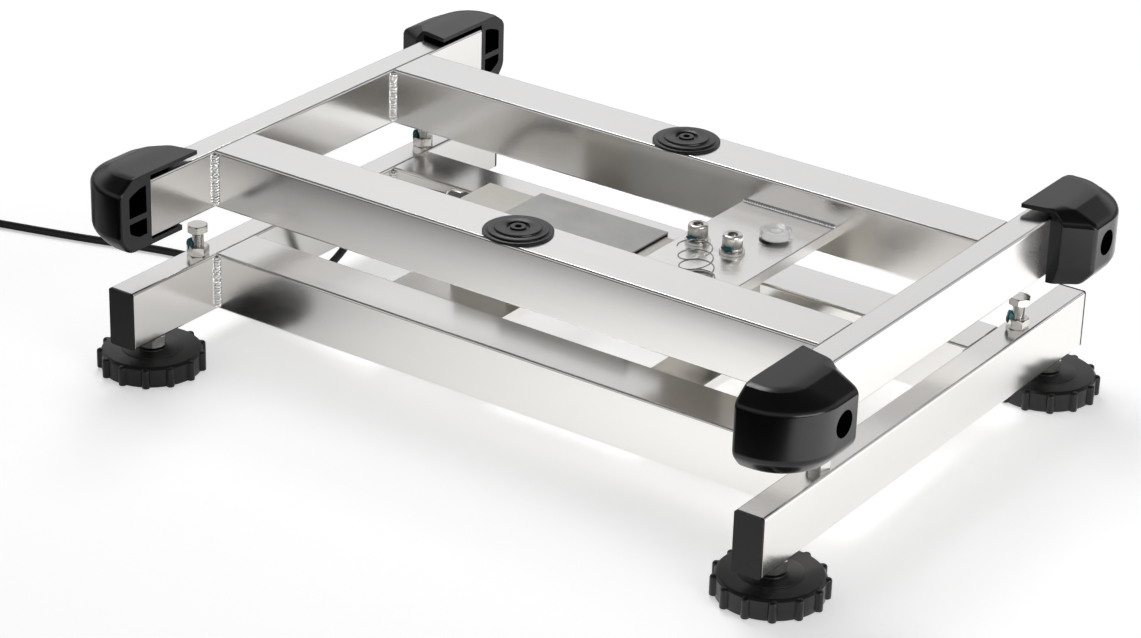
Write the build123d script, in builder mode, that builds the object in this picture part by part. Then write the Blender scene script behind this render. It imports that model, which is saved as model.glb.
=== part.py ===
from build123d import *
import math
import os

# Platform scale: two welded tube frames joined by a single-point load cell.
# Millimetres. X runs along the long rails, Z is up, the origin is on the floor under the centre.

# Tubes of both frames
frame_length = 500.0
tube_height = 40.0
long_tube_width = 40.0
short_tube_width = 20.0
tube_wall = 1.5
tube_corner = 1.8
long_rail_spread = 188.0
frame_gap = 33.5
base_rail_length = 390.0
load_rail_length = 352.0
tube_inner_corner = 0.3
weld_leg = 3.0
weld_bulge = 0.6

# Plugs in the ends of the lower short rails
cap_flange = 1.6
cap_plug_depth = 12.0
cap_wall = 1.6
cap_fit = 0.1

# Levelling feet
knob_diameter = 72.0
knob_height = 15.0
knob_ribs = 13
rib_width = 5.4
rib_depth = 2.8
rib_drop = 0.6
rib_dome = 1.8
knob_edge = 1.6
hub_diameter = 39.5
hub_rise = 0.6
hub_edge = 0.4
knob_boss_diameter = 20.0
knob_boss_rise = 0.9
sole_diameter = 52.0
sole_thickness = 3.0
sole_stand = 1.0
stud_web = 1.0
foot_stud_diameter = 10.0
foot_stud_length = 38.0
foot_stud_chamfer = 0.8
foot_nut_flats = 17.0
foot_nut_height = 8.0
foot_gap = 0.5
foot_spread = 336.6
thread_clearance = 0.05

# Corner stop screws
stop_spread = 242.0
stop_screw_diameter = 8.0
stop_screw_flats = 13.0
stop_head_height = 5.3
stop_nut_height = 6.5
stop_stand = 16.0
stop_depth = 14.0

# Corner bumpers
bumper_reach = 27.7
bumper_overhang = 29.0
bumper_corner = 40.0
bumper_grip = 45.0
bumper_slant_grip = 31.0
bumper_foot_grip = 29.0
bumper_end_slope = 4.0
bumper_end_step = 8.0
bumper_crown_step = 1.5
bumper_end_round = 4.0
bumper_crown_rise = 6.0
bumper_crown_inset = 17.7
bumper_crown_corner = 20.0
bumper_side_inset = 11.0
bumper_wall_top = 5.0
bumper_wall_bottom = 8.0
bumper_drop = 4.5
bumper_bottom_inset = 9.0
bumper_wall = 5.0
bumper_roof = 8.0
bumper_floor = 9.0
bumper_rib = 4.0
bumper_rib_drop = 2.5
bumper_end_wall = 4.3
bumper_lip_thickness = 2.8
bumper_foot_lip = 3.5
bumper_hole = 17.0
bumper_hole_inset = 15.6
bumper_hole_rise = 2.0
bumper_screw_floor = 5.0
bumper_screw_diameter = 6.0
bumper_screw_head = 12.0
bumper_screw_head_height = 3.6
bumper_screw_length = 14.0

# Pads on the long load rails
pad_diameter = 45.0
pad_base_thickness = 1.6
pad_step_diameter = 39.0
pad_disc_diameter = 30.0
pad_rise = 4.0
pad_boss_diameter = 10.0
pad_bore = 4.2
pad_groove_width = 2.4
pad_groove_depth = 1.4
pad_stem_diameter = 10.0
pad_stem_length = 7.0

# Load plate, base plate and stop bar, each centred a little further out than the cell's screws
load_plate_length = 70.0
load_plate_shift = 9.0
load_plate_drop = 19.2
plate_thickness = 8.0
base_plate_length = 90.0
base_plate_shift = 10.0
base_plate_drop = 20.0
stop_bar_length = 40.0
stop_bar_shift = 2.5

# Load cell
cell_length = 213.0
cell_tail = 20.0
cell_nose = 23.0
cell_width = 40.0
upper_spacer = 5.8
lower_spacer = 12.0
spacer_length = 46.0
cell_bolt_pitch = 26.0
cell_edge = 1.0
window_hole = 26.0
window_pitch = 48.0
window_slot = 8.0

# Cover over the gauged middle of the cell
cover_tail_inset = 19.0
cover_nose_inset = 50.0
cover_sheet = 1.2
cover_gap = 1.8
cover_top_gap = 0.8
cover_side_drop = 40.0
seal_width = 6.0

# Cell screws
cell_screw_diameter = 8.0
cell_head_diameter = 13.0
cell_head_height = 8.0
cell_socket_flats = 6.0
cell_socket_depth = 4.5
cell_head_chamfer = 0.6
cell_screw_engagement = 16.0
tapped_run_out = 2.0
base_head_flats = 13.0
base_head_height = 5.3
flat_washer_diameter = 16.5
flat_washer_thickness = 2.0
spring_washer_diameter = 14.0
spring_washer_thickness = 2.4
screw_hole_clearance = 0.4
tapped_clearance = 0.1

# Overload stop under the free end
overload_gap = 0.5
overload_screw_diameter = 8.0
overload_nut_flats = 13.0
overload_nut_height = 6.5
overload_screw_tail = 5.0
overload_screw_chamfer = 0.8

# Bubble level
level_shift = 15.5
level_y = 33.0
level_diameter = 21.5
level_height = 7.1
level_rim = 1.4
level_rim_rise = 0.4
level_wall = 2.0
level_bubble_diameter = 4.0
level_bubble_height = 1.2
level_fit = 0.02

# Earthing spring
spring_shift = 9.0
spring_y = -47.0
spring_diameter = 22.4
spring_wire = 0.9
spring_pitch = 6.7
spring_stand = 5.5
spring_tuck = 0.15
spring_lean = 6.5
spring_lean_heading = 215.0

# Cable gland and cable
gland_flats = 14.0
gland_hex_length = 8.0
gland_nut_diameter = 15.0
gland_nut_length = 12.0
gland_nut_round = 3.0
gland_thread_diameter = 10.0
gland_thread_length = 8.0
gland_thread_run_out = 1.0
gland_drop = 10.0
cable_diameter = 5.5
cable_rest = 0.1
cable_arc_share = 0.45

# Coil of the spare cable, its tie and the connector
coil_radius = 33.0
coil_rows = 3
coil_layers = 2
tie_width = 8.0
tie_thickness = 1.0
tie_room = 0.6
tie_angle = 60.0
connector_diameter = 16.0
connector_length = 40.0
connector_neck_diameter = 9.0
connector_neck_length = 12.0
connector_rim = 1.4
connector_edge = 1.0
connector_shoulder = 2.0
connector_socket_depth = 7.0
connector_insert_depth = 5.0
connector_insert_fit = 0.05
contact_count = 5
contact_circle = 6.8
contact_diameter = 1.6

# Places worked out from the sizes
frame_bottom = knob_height + hub_rise + knob_boss_rise + foot_gap + foot_nut_height
base_top = frame_bottom + tube_height
load_bottom = base_top + frame_gap
load_top = load_bottom + tube_height
half_length = frame_length / 2
short_x = half_length - short_tube_width / 2
rail_end_x = half_length - short_tube_width
long_y = long_rail_spread / 2
inner_y = long_y - long_tube_width / 2
foot_y = foot_spread / 2
stop_y = stop_spread / 2
rail_end_y = load_rail_length / 2
spacer_offset = (cell_length - cell_tail - cell_nose) / 2
load_plate_offset = spacer_offset + load_plate_shift
base_plate_offset = spacer_offset + base_plate_shift
stop_bar_offset = spacer_offset + stop_bar_shift
load_plate_top = load_top - load_plate_drop
load_plate_bottom = load_plate_top - plate_thickness
base_plate_top = base_top - base_plate_drop
base_plate_bottom = base_plate_top - plate_thickness
cell_top = load_plate_bottom - upper_spacer
cell_bottom = base_plate_top + lower_spacer
cell_height = cell_top - cell_bottom
cell_left = -spacer_offset - cell_tail
cell_middle = cell_left + cell_length / 2
gland_z = cell_top - gland_drop
gland_face_x = cell_left - gland_hex_length - gland_nut_length

os.makedirs("parts", exist_ok=True)


def finish(builder, label):
    """Label a finished piece and write it as a STEP file of the same name."""
    builder.part.label = label
    export_step(builder.part, "parts/" + label + ".step")


def tube_section(width, height, corner):
    """Draw a tube's wall in the current sketch: the outline less the bore."""
    RectangleRounded(width, height, corner)
    RectangleRounded(width - 2 * tube_wall, height - 2 * tube_wall, tube_inner_corner, mode=Mode.SUBTRACT)


# Long rails run between the short rails, two in each frame
def long_rail(label, side, bottom, holes):
    """Make one long rail, with a hole through its top wall at each place in holes."""
    middle = bottom + tube_height / 2
    with BuildPart() as rail:
        with BuildSketch(Plane.YZ.offset(-rail_end_x)):
            with Locations((side * long_y, middle)):
                tube_section(long_tube_width, tube_height, tube_corner)
        extrude(amount=2 * rail_end_x)
        for place, diameter in holes:
            with BuildSketch(Plane.XY.offset(bottom + tube_height)):
                with Locations((place, side * long_y)):
                    Circle(diameter / 2)
            extrude(amount=-2 * tube_wall, mode=Mode.SUBTRACT)
    finish(rail, label)


pad_hole = [(0.0, pad_stem_diameter)]
long_rail("base_rail_front", -1, frame_bottom, [])
long_rail("base_rail_back", 1, frame_bottom, [])
long_rail("load_rail_front", -1, load_bottom, pad_hole)
long_rail("load_rail_back", 1, load_bottom, pad_hole)


# Short rails close both frames, and the feet, stop screws and bumpers go on their ends
def base_short_rail(label, side):
    """Make a lower short rail with its foot holes below and stop screw holes above."""
    with BuildPart() as rail:
        with BuildSketch(Plane.XZ.offset(-base_rail_length / 2)):
            with Locations((side * short_x, frame_bottom + tube_height / 2)):
                tube_section(short_tube_width, tube_height, tube_corner)
        extrude(amount=base_rail_length)
        with BuildSketch(Plane.XY.offset(frame_bottom)):
            with Locations((side * short_x, -foot_y), (side * short_x, foot_y)):
                Circle(foot_stud_diameter / 2 + screw_hole_clearance)
        extrude(amount=2 * tube_wall, mode=Mode.SUBTRACT)
        with BuildSketch(Plane.XY.offset(base_top)):
            with Locations((side * short_x, -stop_y), (side * short_x, stop_y)):
                Circle(stop_screw_diameter / 2 + thread_clearance)
        extrude(amount=-2 * tube_wall, mode=Mode.SUBTRACT)
    finish(rail, label)


bumper_hole_y = rail_end_y - bumper_hole_inset
bumper_hole_z = load_bottom + tube_height / 2 + bumper_hole_rise


def load_short_rail(label, side):
    """Make an upper short rail with the bumper screw holes in its outer wall."""
    with BuildPart() as rail:
        with BuildSketch(Plane.XZ.offset(-load_rail_length / 2)):
            with Locations((side * short_x, load_bottom + tube_height / 2)):
                tube_section(short_tube_width, tube_height, tube_corner)
        extrude(amount=load_rail_length)
        with BuildSketch(Plane.YZ.offset(side * half_length)):
            with Locations((-bumper_hole_y, bumper_hole_z), (bumper_hole_y, bumper_hole_z)):
                Circle(bumper_screw_diameter / 2 + thread_clearance)
        extrude(amount=-side * 2 * tube_wall, mode=Mode.SUBTRACT)
    finish(rail, label)


base_short_rail("base_rail_left", -1)
base_short_rail("base_rail_right", 1)
load_short_rail("load_rail_left", -1)
load_short_rail("load_rail_right", 1)


# Fillet welds stand in the upright corners where long and short rails meet, and lie along the plates
def bead_points(corner_x, corner_y, turn_x, turn_y):
    """Give a bead's start, corner, end and bulge, for a corner that opens towards the given turn."""
    start = (corner_x + turn_x * weld_leg, corner_y)
    end = (corner_x, corner_y + turn_y * weld_leg)
    bulge = (corner_x + turn_x * weld_leg * weld_bulge, corner_y + turn_y * weld_leg * weld_bulge)
    return start, (corner_x, corner_y), end, bulge


def frame_welds(label, bottom, plates):
    """Make one frame's eight upright beads, and a bead on top along both ends of each plate."""
    with BuildPart() as beads:
        with BuildSketch(Plane.XY.offset(bottom + tube_corner)):
            for x_side in (-1, 1):
                for y_side in (-1, 1):
                    for edge in (-1, 1):
                        corner_y = y_side * long_y + edge * long_tube_width / 2
                        start, corner, end, bulge = bead_points(x_side * rail_end_x, corner_y, -x_side, edge)
                        with BuildLine():
                            Polyline(start, corner, end)
                            ThreePointArc(end, bulge, start)
                        make_face()
        extrude(amount=tube_height - 2 * tube_corner)
        for centre, length, top in plates:
            with BuildSketch(Plane.YZ.offset(centre - length / 2)):
                for y_side in (-1, 1):
                    start, corner, end, bulge = bead_points(y_side * inner_y, top, -y_side, 1)
                    with BuildLine():
                        Polyline(start, corner, end)
                        ThreePointArc(end, bulge, start)
                    make_face()
            extrude(amount=length)
    finish(beads, label)


frame_welds("base_frame_welds", frame_bottom, [(-base_plate_offset, base_plate_length, base_plate_top),
                                               (stop_bar_offset, stop_bar_length, base_plate_top)])
frame_welds("load_frame_welds", load_bottom, [(load_plate_offset, load_plate_length, load_plate_top)])


# Black plugs close the ends of the lower short rails
with BuildPart() as caps:
    for x_side in (-1, 1):
        for y_side in (-1, 1):
            face = Plane.XZ.offset(-y_side * base_rail_length / 2)
            with BuildSketch(face):
                with Locations((x_side * short_x, frame_bottom + tube_height / 2)):
                    RectangleRounded(short_tube_width, tube_height, tube_corner)
            extrude(amount=-y_side * cap_flange)
            with BuildSketch(face):
                with Locations((x_side * short_x, frame_bottom + tube_height / 2)):
                    RectangleRounded(short_tube_width - 2 * (tube_wall + cap_fit),
                                     tube_height - 2 * (tube_wall + cap_fit), tube_corner)
                    Rectangle(short_tube_width - 2 * (tube_wall + cap_fit + cap_wall),
                              tube_height - 2 * (tube_wall + cap_fit + cap_wall), mode=Mode.SUBTRACT)
            extrude(amount=y_side * cap_plug_depth)
finish(caps, "rail_end_caps")


# A levelling foot: a ribbed knob on a stud, a rubber sole in its underside and a nut under the rail
foot_places = {"left_front": (-1, -1), "right_front": (1, -1), "left_back": (-1, 1), "right_back": (1, 1)}
knob_radius = knob_diameter / 2
disc_radius = knob_radius - rib_depth
hub_radius = hub_diameter / 2
hub_top = knob_height + hub_rise
boss_radius = knob_boss_diameter / 2
boss_top = hub_top + knob_boss_rise
stud_bottom = sole_thickness + stud_web


def foot(corner, x_side, y_side):
    """Make the knob, stud and sole of one foot at its corner."""
    x = x_side * short_x
    y = y_side * foot_y
    with BuildPart() as knob:
        # Half-round ribs with domed tops stand all round the knob's rim
        with BuildSketch(Plane.XY.offset(sole_stand)):
            with Locations((x, y)):
                with PolarLocations(knob_radius - rib_width / 2, knob_ribs):
                    Circle(rib_width / 2)
        extrude(amount=knob_height - rib_drop - sole_stand)
        fillet(knob.edges().group_by(Axis.Z)[-1], rib_dome)
        # The disc between them rises to a hub and to a boss under the nut
        with BuildSketch(Plane((x, y, 0), x_dir=(1, 0, 0), z_dir=(0, -1, 0))):
            with BuildLine():
                Polyline((0, sole_stand), (disc_radius, sole_stand), (disc_radius, knob_height - knob_edge),
                         (disc_radius - knob_edge, knob_height), (hub_radius, knob_height),
                         (hub_radius, hub_top - hub_edge), (hub_radius - hub_edge, hub_top),
                         (boss_radius, hub_top), (boss_radius, boss_top), (0, boss_top), close=True)
            make_face()
        revolve(axis=Axis((x, y, 0), (0, 0, 1)))
        with BuildSketch(Plane.XY):
            with Locations((x, y)):
                Circle(sole_diameter / 2)
        extrude(amount=sole_thickness, mode=Mode.SUBTRACT)
        with BuildSketch(Plane.XY.offset(stud_bottom)):
            with Locations((x, y)):
                Circle(foot_stud_diameter / 2)
        extrude(amount=boss_top - stud_bottom, mode=Mode.SUBTRACT)
    finish(knob, "foot_knob_" + corner)
    with BuildPart() as stud:
        with BuildSketch(Plane.XY.offset(stud_bottom)):
            with Locations((x, y)):
                Circle(foot_stud_diameter / 2)
        extrude(amount=foot_stud_length)
        chamfer(stud.edges().group_by(Axis.Z)[-1], foot_stud_chamfer)
    finish(stud, "foot_stud_" + corner)
    with BuildPart() as sole:
        with BuildSketch(Plane.XY):
            with Locations((x, y)):
                Circle(sole_diameter / 2 - thread_clearance)
        extrude(amount=sole_thickness)
    finish(sole, "foot_sole_" + corner)


for corner, (x_side, y_side) in foot_places.items():
    foot(corner, x_side, y_side)

with BuildPart() as foot_nuts:
    with BuildSketch(Plane.XY.offset(frame_bottom - foot_nut_height)):
        with GridLocations(2 * short_x, foot_spread, 2, 2):
            RegularPolygon(foot_nut_flats / 2, 6, major_radius=False)
            Circle(foot_stud_diameter / 2 + thread_clearance, mode=Mode.SUBTRACT)
    extrude(amount=foot_nut_height)
finish(foot_nuts, "foot_weld_nuts")


# Stop screws stand on the lower short rails and catch the load frame when it is pushed down hard
stop_head_bottom = base_top + stop_stand
with BuildPart() as stop_screws:
    with BuildSketch(Plane.XY.offset(base_top - stop_depth)):
        with GridLocations(2 * short_x, stop_spread, 2, 2):
            Circle(stop_screw_diameter / 2)
    extrude(amount=stop_depth + stop_stand)
    with BuildSketch(Plane.XY.offset(stop_head_bottom)):
        with GridLocations(2 * short_x, stop_spread, 2, 2):
            RegularPolygon(stop_screw_flats / 2, 6, major_radius=False)
    extrude(amount=stop_head_height)
finish(stop_screws, "stop_screws")

with BuildPart() as stop_nuts:
    with BuildSketch(Plane.XY.offset(base_top)):
        with GridLocations(2 * short_x, stop_spread, 2, 2):
            RegularPolygon(stop_screw_flats / 2, 6, major_radius=False)
            Circle(stop_screw_diameter / 2 + thread_clearance, mode=Mode.SUBTRACT)
    extrude(amount=stop_nut_height)
finish(stop_nuts, "stop_screw_nuts")


# A bumper caps each end of the upper short rails: a moulded shell, open towards the frame
bumper_outer_x = half_length + bumper_reach
bumper_outer_y = rail_end_y + bumper_overhang
bumper_end_y = rail_end_y - bumper_grip
bumper_slant_y = rail_end_y - bumper_slant_grip
bumper_foot_y = rail_end_y - bumper_foot_grip
wall_top = load_top - bumper_wall_top
wall_bottom = load_bottom + bumper_wall_bottom
crown_z = load_top + bumper_crown_rise
bumper_bottom = load_bottom - bumper_drop
# The shoulder leaves the wall upright, slopes in and comes level: shares of its inset and of its rise
shoulder_shares = [(0.0, 0.0), (0.04, 0.16), (0.17, 0.38), (0.78, 0.90), (1.0, 1.0)]


def bumper_outline(height, inset_x, inset_y, corner):
    """Give the plan outline at one height: a large outer corner, and a slant back to the rail's side."""
    outer_x = bumper_outer_x - inset_x
    outer_y = bumper_outer_y - inset_y
    step = bumper_end_step + (bumper_crown_step - bumper_end_step) * inset_x / bumper_crown_inset
    with BuildSketch(Plane.XY.offset(height)) as outline:
        with BuildLine():
            FilletPolyline((rail_end_x, -outer_y), (outer_x, -outer_y), (outer_x, -bumper_slant_y),
                           (half_length + step, -bumper_end_y - bumper_end_slope),
                           (rail_end_x, -bumper_end_y),
                           radius=[corner, bumper_end_round, bumper_end_round])
            Line((rail_end_x, -bumper_end_y), (rail_end_x, -outer_y))
        make_face()
    return outline.sketch.face()


def shoulder(bottom, top, inset_x, inset_y, end_corner, shrink):
    """Stack ruled lofts along the shoulder's profile from the wall up to the crown, or down to the base."""
    start_corner = bumper_corner - shrink
    sections = []
    for inset, rise in shoulder_shares:
        height = bottom + (top - bottom) * rise
        corner = start_corner + (end_corner - start_corner) * inset
        sections.append(bumper_outline(height, inset * inset_x + shrink, inset * inset_y + shrink, corner))
    loft(sections=sections, ruled=True)


def bumper_mass(shrink, roof, floor):
    """Fill the bumper's rounded block, drawn in by shrink at the sides, and by roof and floor."""
    crown_corner = bumper_crown_corner - shrink / 2
    base_corner = bumper_corner - bumper_bottom_inset - shrink
    low = wall_bottom + shrink / 2
    high = wall_top - shrink / 2
    extrude(bumper_outline(low, shrink, shrink, bumper_corner - shrink), amount=high - low)
    shoulder(high, crown_z - roof, bumper_crown_inset, bumper_side_inset, crown_corner, shrink)
    shoulder(low, bumper_bottom + floor, bumper_bottom_inset, bumper_bottom_inset, base_corner, shrink)


cell_start_y = rail_end_y + bumper_end_wall
bumper_rib_z = load_bottom + tube_height / 2 - bumper_rib_drop

with BuildPart() as bumper_hollow:
    bumper_mass(bumper_wall, bumper_roof, bumper_floor)
    with BuildSketch(Plane.XY.offset(bumper_bottom)):
        with Locations((bumper_outer_x, 0)):
            Rectangle(frame_length, 2 * cell_start_y)
    extrude(amount=crown_z - bumper_bottom, mode=Mode.SUBTRACT)
    with BuildSketch(Plane.XY.offset(bumper_rib_z - bumper_rib / 2)):
        with Locations((bumper_outer_x, 0)):
            Rectangle(frame_length, 2 * bumper_outer_y)
    extrude(amount=bumper_rib, mode=Mode.SUBTRACT)

with BuildPart() as bumper:
    bumper_mass(0.0, 0.0, 0.0)
    add(bumper_hollow.part, mode=Mode.SUBTRACT)
    # Pocket for the rail's end, with a slot of air above and below the rail
    with BuildSketch(Plane.XY.offset(bumper_bottom + bumper_foot_lip)):
        with Locations((short_x, 0)):
            Rectangle(short_tube_width, 2 * rail_end_y)
    extrude(amount=crown_z - bumper_lip_thickness - bumper_bottom - bumper_foot_lip, mode=Mode.SUBTRACT)
    # The lower lip is shorter than the upper one
    with BuildSketch(Plane.XY.offset(bumper_bottom)):
        with Locations((short_x, 0)):
            Rectangle(short_tube_width, 2 * bumper_foot_y)
    extrude(amount=bumper_foot_lip, mode=Mode.SUBTRACT)
    # Sunk hole for the fixing screw
    with BuildSketch(Plane.YZ.offset(bumper_outer_x)):
        with Locations((-bumper_hole_y, bumper_hole_z)):
            Circle(bumper_hole / 2)
    extrude(amount=-(bumper_reach - bumper_screw_floor), mode=Mode.SUBTRACT)
    with BuildSketch(Plane.YZ.offset(bumper_outer_x)):
        with Locations((-bumper_hole_y, bumper_hole_z)):
            Circle(bumper_screw_diameter / 2 + screw_hole_clearance)
    extrude(amount=-bumper_reach, mode=Mode.SUBTRACT)
finish(bumper, "bumper_right_front")

with BuildPart() as bumper_right_back:
    mirror(bumper.part, about=Plane.XZ)
finish(bumper_right_back, "bumper_right_back")
with BuildPart() as bumper_left_front:
    mirror(bumper.part, about=Plane.YZ)
finish(bumper_left_front, "bumper_left_front")
with BuildPart() as bumper_left_back:
    mirror(bumper_right_back.part, about=Plane.YZ)
finish(bumper_left_back, "bumper_left_back")

screw_head_x = half_length + bumper_screw_floor
with BuildPart() as bumper_screws:
    for x_side in (-1, 1):
        for y_side in (-1, 1):
            with BuildSketch(Plane.YZ.offset(x_side * screw_head_x)):
                with Locations((y_side * bumper_hole_y, bumper_hole_z)):
                    Circle(bumper_screw_head / 2)
            extrude(amount=x_side * bumper_screw_head_height)
            with BuildSketch(Plane.YZ.offset(x_side * screw_head_x)):
                with Locations((y_side * bumper_hole_y, bumper_hole_z)):
                    Circle(bumper_screw_diameter / 2)
            extrude(amount=-x_side * bumper_screw_length)
finish(bumper_screws, "bumper_screws")


# Stepped rubber pads are pushed into the long load rails, and the pan lies on them
def pad(label, side):
    """Turn one pad: base flange, step, raised disc with a ring groove, bored boss and stem."""
    outer = pad_diameter / 2
    step = pad_step_diameter / 2
    disc = pad_disc_diameter / 2
    boss = pad_boss_diameter / 2
    step_z = pad_base_thickness + (pad_rise - pad_base_thickness) / 2
    with BuildPart() as button:
        with BuildSketch(Plane((0, side * long_y, load_top), x_dir=(1, 0, 0), z_dir=(0, -1, 0))):
            with BuildLine():
                Polyline((pad_bore / 2, -pad_stem_length), (pad_stem_diameter / 2, -pad_stem_length),
                         (pad_stem_diameter / 2, 0), (outer, 0), (outer, pad_base_thickness),
                         (step, pad_base_thickness), (step, step_z), (disc, step_z), (disc, pad_rise),
                         (boss + pad_groove_width, pad_rise),
                         (boss + pad_groove_width, pad_rise - pad_groove_depth),
                         (boss, pad_rise - pad_groove_depth), (boss, pad_rise),
                         (pad_bore / 2, pad_rise), close=True)
            make_face()
        revolve(axis=Axis((0, side * long_y, 0), (0, 0, 1)))
    finish(button, label)


pad("pad_front", -1)
pad("pad_back", 1)


# Plates welded between the long rails carry the two ends of the load cell
def cross_plate(label, centre, length, bottom, holes):
    """Make one plate between the inner faces of the long rails, drilled at each place in holes."""
    with BuildPart() as plate:
        with BuildSketch(Plane.XY.offset(bottom)):
            with Locations((centre, 0)):
                Rectangle(length, 2 * inner_y)
            for place, diameter in holes:
                with Locations((place, 0)):
                    Circle(diameter / 2, mode=Mode.SUBTRACT)
        extrude(amount=plate_thickness)
    finish(plate, label)


bolt_inner = spacer_offset - cell_bolt_pitch / 2
bolt_outer = spacer_offset + cell_bolt_pitch / 2
bolt_hole = cell_screw_diameter + 2 * screw_hole_clearance
cross_plate("load_plate", load_plate_offset, load_plate_length, load_plate_bottom,
            [(bolt_inner, bolt_hole), (bolt_outer, bolt_hole)])
cross_plate("base_plate", -base_plate_offset, base_plate_length, base_plate_bottom,
            [(-bolt_inner, bolt_hole), (-bolt_outer, bolt_hole)])
cross_plate("overload_stop_bar", stop_bar_offset, stop_bar_length, base_plate_bottom,
            [(stop_bar_offset, overload_screw_diameter + 2 * thread_clearance)])


def cell_spacer(label, centre, bottom, height):
    """Make the block between the load cell and a plate, with two bolt holes."""
    with BuildPart() as block:
        with BuildSketch(Plane.XY.offset(bottom)):
            with Locations((centre, 0)):
                Rectangle(spacer_length, cell_width)
                with GridLocations(cell_bolt_pitch, 0, 2, 1):
                    Circle(bolt_hole / 2, mode=Mode.SUBTRACT)
        extrude(amount=height)
    finish(block, label)


cell_spacer("load_spacer", spacer_offset, cell_top, upper_spacer)
cell_spacer("base_spacer", -spacer_offset, base_plate_top, lower_spacer)


# The load cell is an aluminium bar whose cross window lets its free end sink straight down
with BuildPart() as load_cell:
    with BuildSketch(Plane.XY.offset(cell_bottom)):
        with Locations((cell_middle, 0)):
            Rectangle(cell_length, cell_width)
    extrude(amount=cell_height)
    chamfer(load_cell.edges().filter_by(Axis.X), cell_edge)
    with BuildSketch(Plane.XZ.offset(-cell_width / 2)):
        with Locations((cell_middle, (cell_top + cell_bottom) / 2)):
            with GridLocations(window_pitch, 0, 2, 1):
                Circle(window_hole / 2)
            Rectangle(window_pitch, window_slot)
    extrude(amount=cell_width, mode=Mode.SUBTRACT)
    with BuildSketch(Plane.XY.offset(cell_top)):
        with Locations((bolt_inner, 0), (bolt_outer, 0)):
            Circle(cell_screw_diameter / 2 + tapped_clearance)
    extrude(amount=-cell_screw_engagement - tapped_run_out, mode=Mode.SUBTRACT)
    with BuildSketch(Plane.XY.offset(cell_bottom)):
        with Locations((-bolt_inner, 0), (-bolt_outer, 0)):
            Circle(cell_screw_diameter / 2 + tapped_clearance)
    extrude(amount=cell_screw_engagement + tapped_run_out, mode=Mode.SUBTRACT)
    with BuildSketch(Plane.YZ.offset(cell_left)):
        with Locations((0, gland_z)):
            Circle(gland_thread_diameter / 2 + thread_clearance)
    extrude(amount=gland_thread_length + gland_thread_run_out, mode=Mode.SUBTRACT)
finish(load_cell, "load_cell")

# A folded sheet cover keeps dirt out of the window, on a soft seal at each of its ends
cover_start = cover_tail_inset - spacer_offset
cover_end = spacer_offset - cover_nose_inset
cover_half = cell_width / 2 + cover_gap
cover_bottom = cell_top - cover_side_drop
with BuildPart() as cover:
    with BuildSketch(Plane.YZ.offset(cover_start)):
        with Locations((0, cover_bottom)):
            Rectangle(2 * (cover_half + cover_sheet), cover_side_drop + cover_top_gap + cover_sheet,
                      align=(Align.CENTER, Align.MIN))
            Rectangle(2 * cover_half, cover_side_drop + cover_top_gap, align=(Align.CENTER, Align.MIN),
                      mode=Mode.SUBTRACT)
    extrude(amount=cover_end - cover_start)
finish(cover, "cell_cover")

with BuildPart() as seals:
    for start in (cover_start, cover_end - seal_width):
        with BuildSketch(Plane.YZ.offset(start)):
            with Locations((0, cover_bottom)):
                Rectangle(2 * cover_half, cover_side_drop + cover_top_gap, align=(Align.CENTER, Align.MIN))
                Rectangle(cell_width, cover_side_drop, align=(Align.CENTER, Align.MIN), mode=Mode.SUBTRACT)
        extrude(amount=seal_width)
finish(seals, "cell_cover_seals")


# Socket screws with their washers clamp the free end to the load plate
load_head_bottom = load_plate_top + flat_washer_thickness + spring_washer_thickness
load_screw_reach = load_head_bottom - cell_top + cell_screw_engagement


def washer(label, centre, bottom, outer, thickness):
    """Make a pair of washers under the two cell screws of one end."""
    with BuildPart() as ring:
        with BuildSketch(Plane.XY.offset(bottom)):
            with Locations((centre, 0)):
                with GridLocations(cell_bolt_pitch, 0, 2, 1):
                    Circle(outer / 2)
                    Circle(bolt_hole / 2, mode=Mode.SUBTRACT)
        extrude(amount=thickness)
    finish(ring, label)


washer("load_flat_washers", spacer_offset, load_plate_top, flat_washer_diameter, flat_washer_thickness)
washer("load_spring_washers", spacer_offset, load_plate_top + flat_washer_thickness,
       spring_washer_diameter, spring_washer_thickness)

with BuildPart() as load_screws:
    with BuildSketch(Plane.XY.offset(load_head_bottom)):
        with Locations((bolt_inner, 0), (bolt_outer, 0)):
            Circle(cell_head_diameter / 2)
    extrude(amount=cell_head_height)
    chamfer(load_screws.edges().group_by(Axis.Z)[-1], cell_head_chamfer)
    with BuildSketch(Plane.XY.offset(load_head_bottom + cell_head_height)):
        with Locations((bolt_inner, 0), (bolt_outer, 0)):
            RegularPolygon(cell_socket_flats / 2, 6, major_radius=False)
    extrude(amount=-cell_socket_depth, mode=Mode.SUBTRACT)
    with BuildSketch(Plane.XY.offset(load_head_bottom)):
        with Locations((bolt_inner, 0), (bolt_outer, 0)):
            Circle(cell_screw_diameter / 2)
    extrude(amount=-load_screw_reach)
finish(load_screws, "load_screws")

# Screws from below clamp the fixed end to the base plate
base_head_top = base_plate_bottom - flat_washer_thickness
washer("base_flat_washers", -spacer_offset, base_head_top, flat_washer_diameter, flat_washer_thickness)
with BuildPart() as base_screws:
    with BuildSketch(Plane.XY.offset(base_head_top)):
        with Locations((-bolt_inner, 0), (-bolt_outer, 0)):
            RegularPolygon(base_head_flats / 2, 6, major_radius=False)
    extrude(amount=-base_head_height)
    with BuildSketch(Plane.XY.offset(base_head_top)):
        with Locations((-bolt_inner, 0), (-bolt_outer, 0)):
            Circle(cell_screw_diameter / 2)
    extrude(amount=cell_bottom - base_head_top + cell_screw_engagement)
finish(base_screws, "base_screws")


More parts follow.
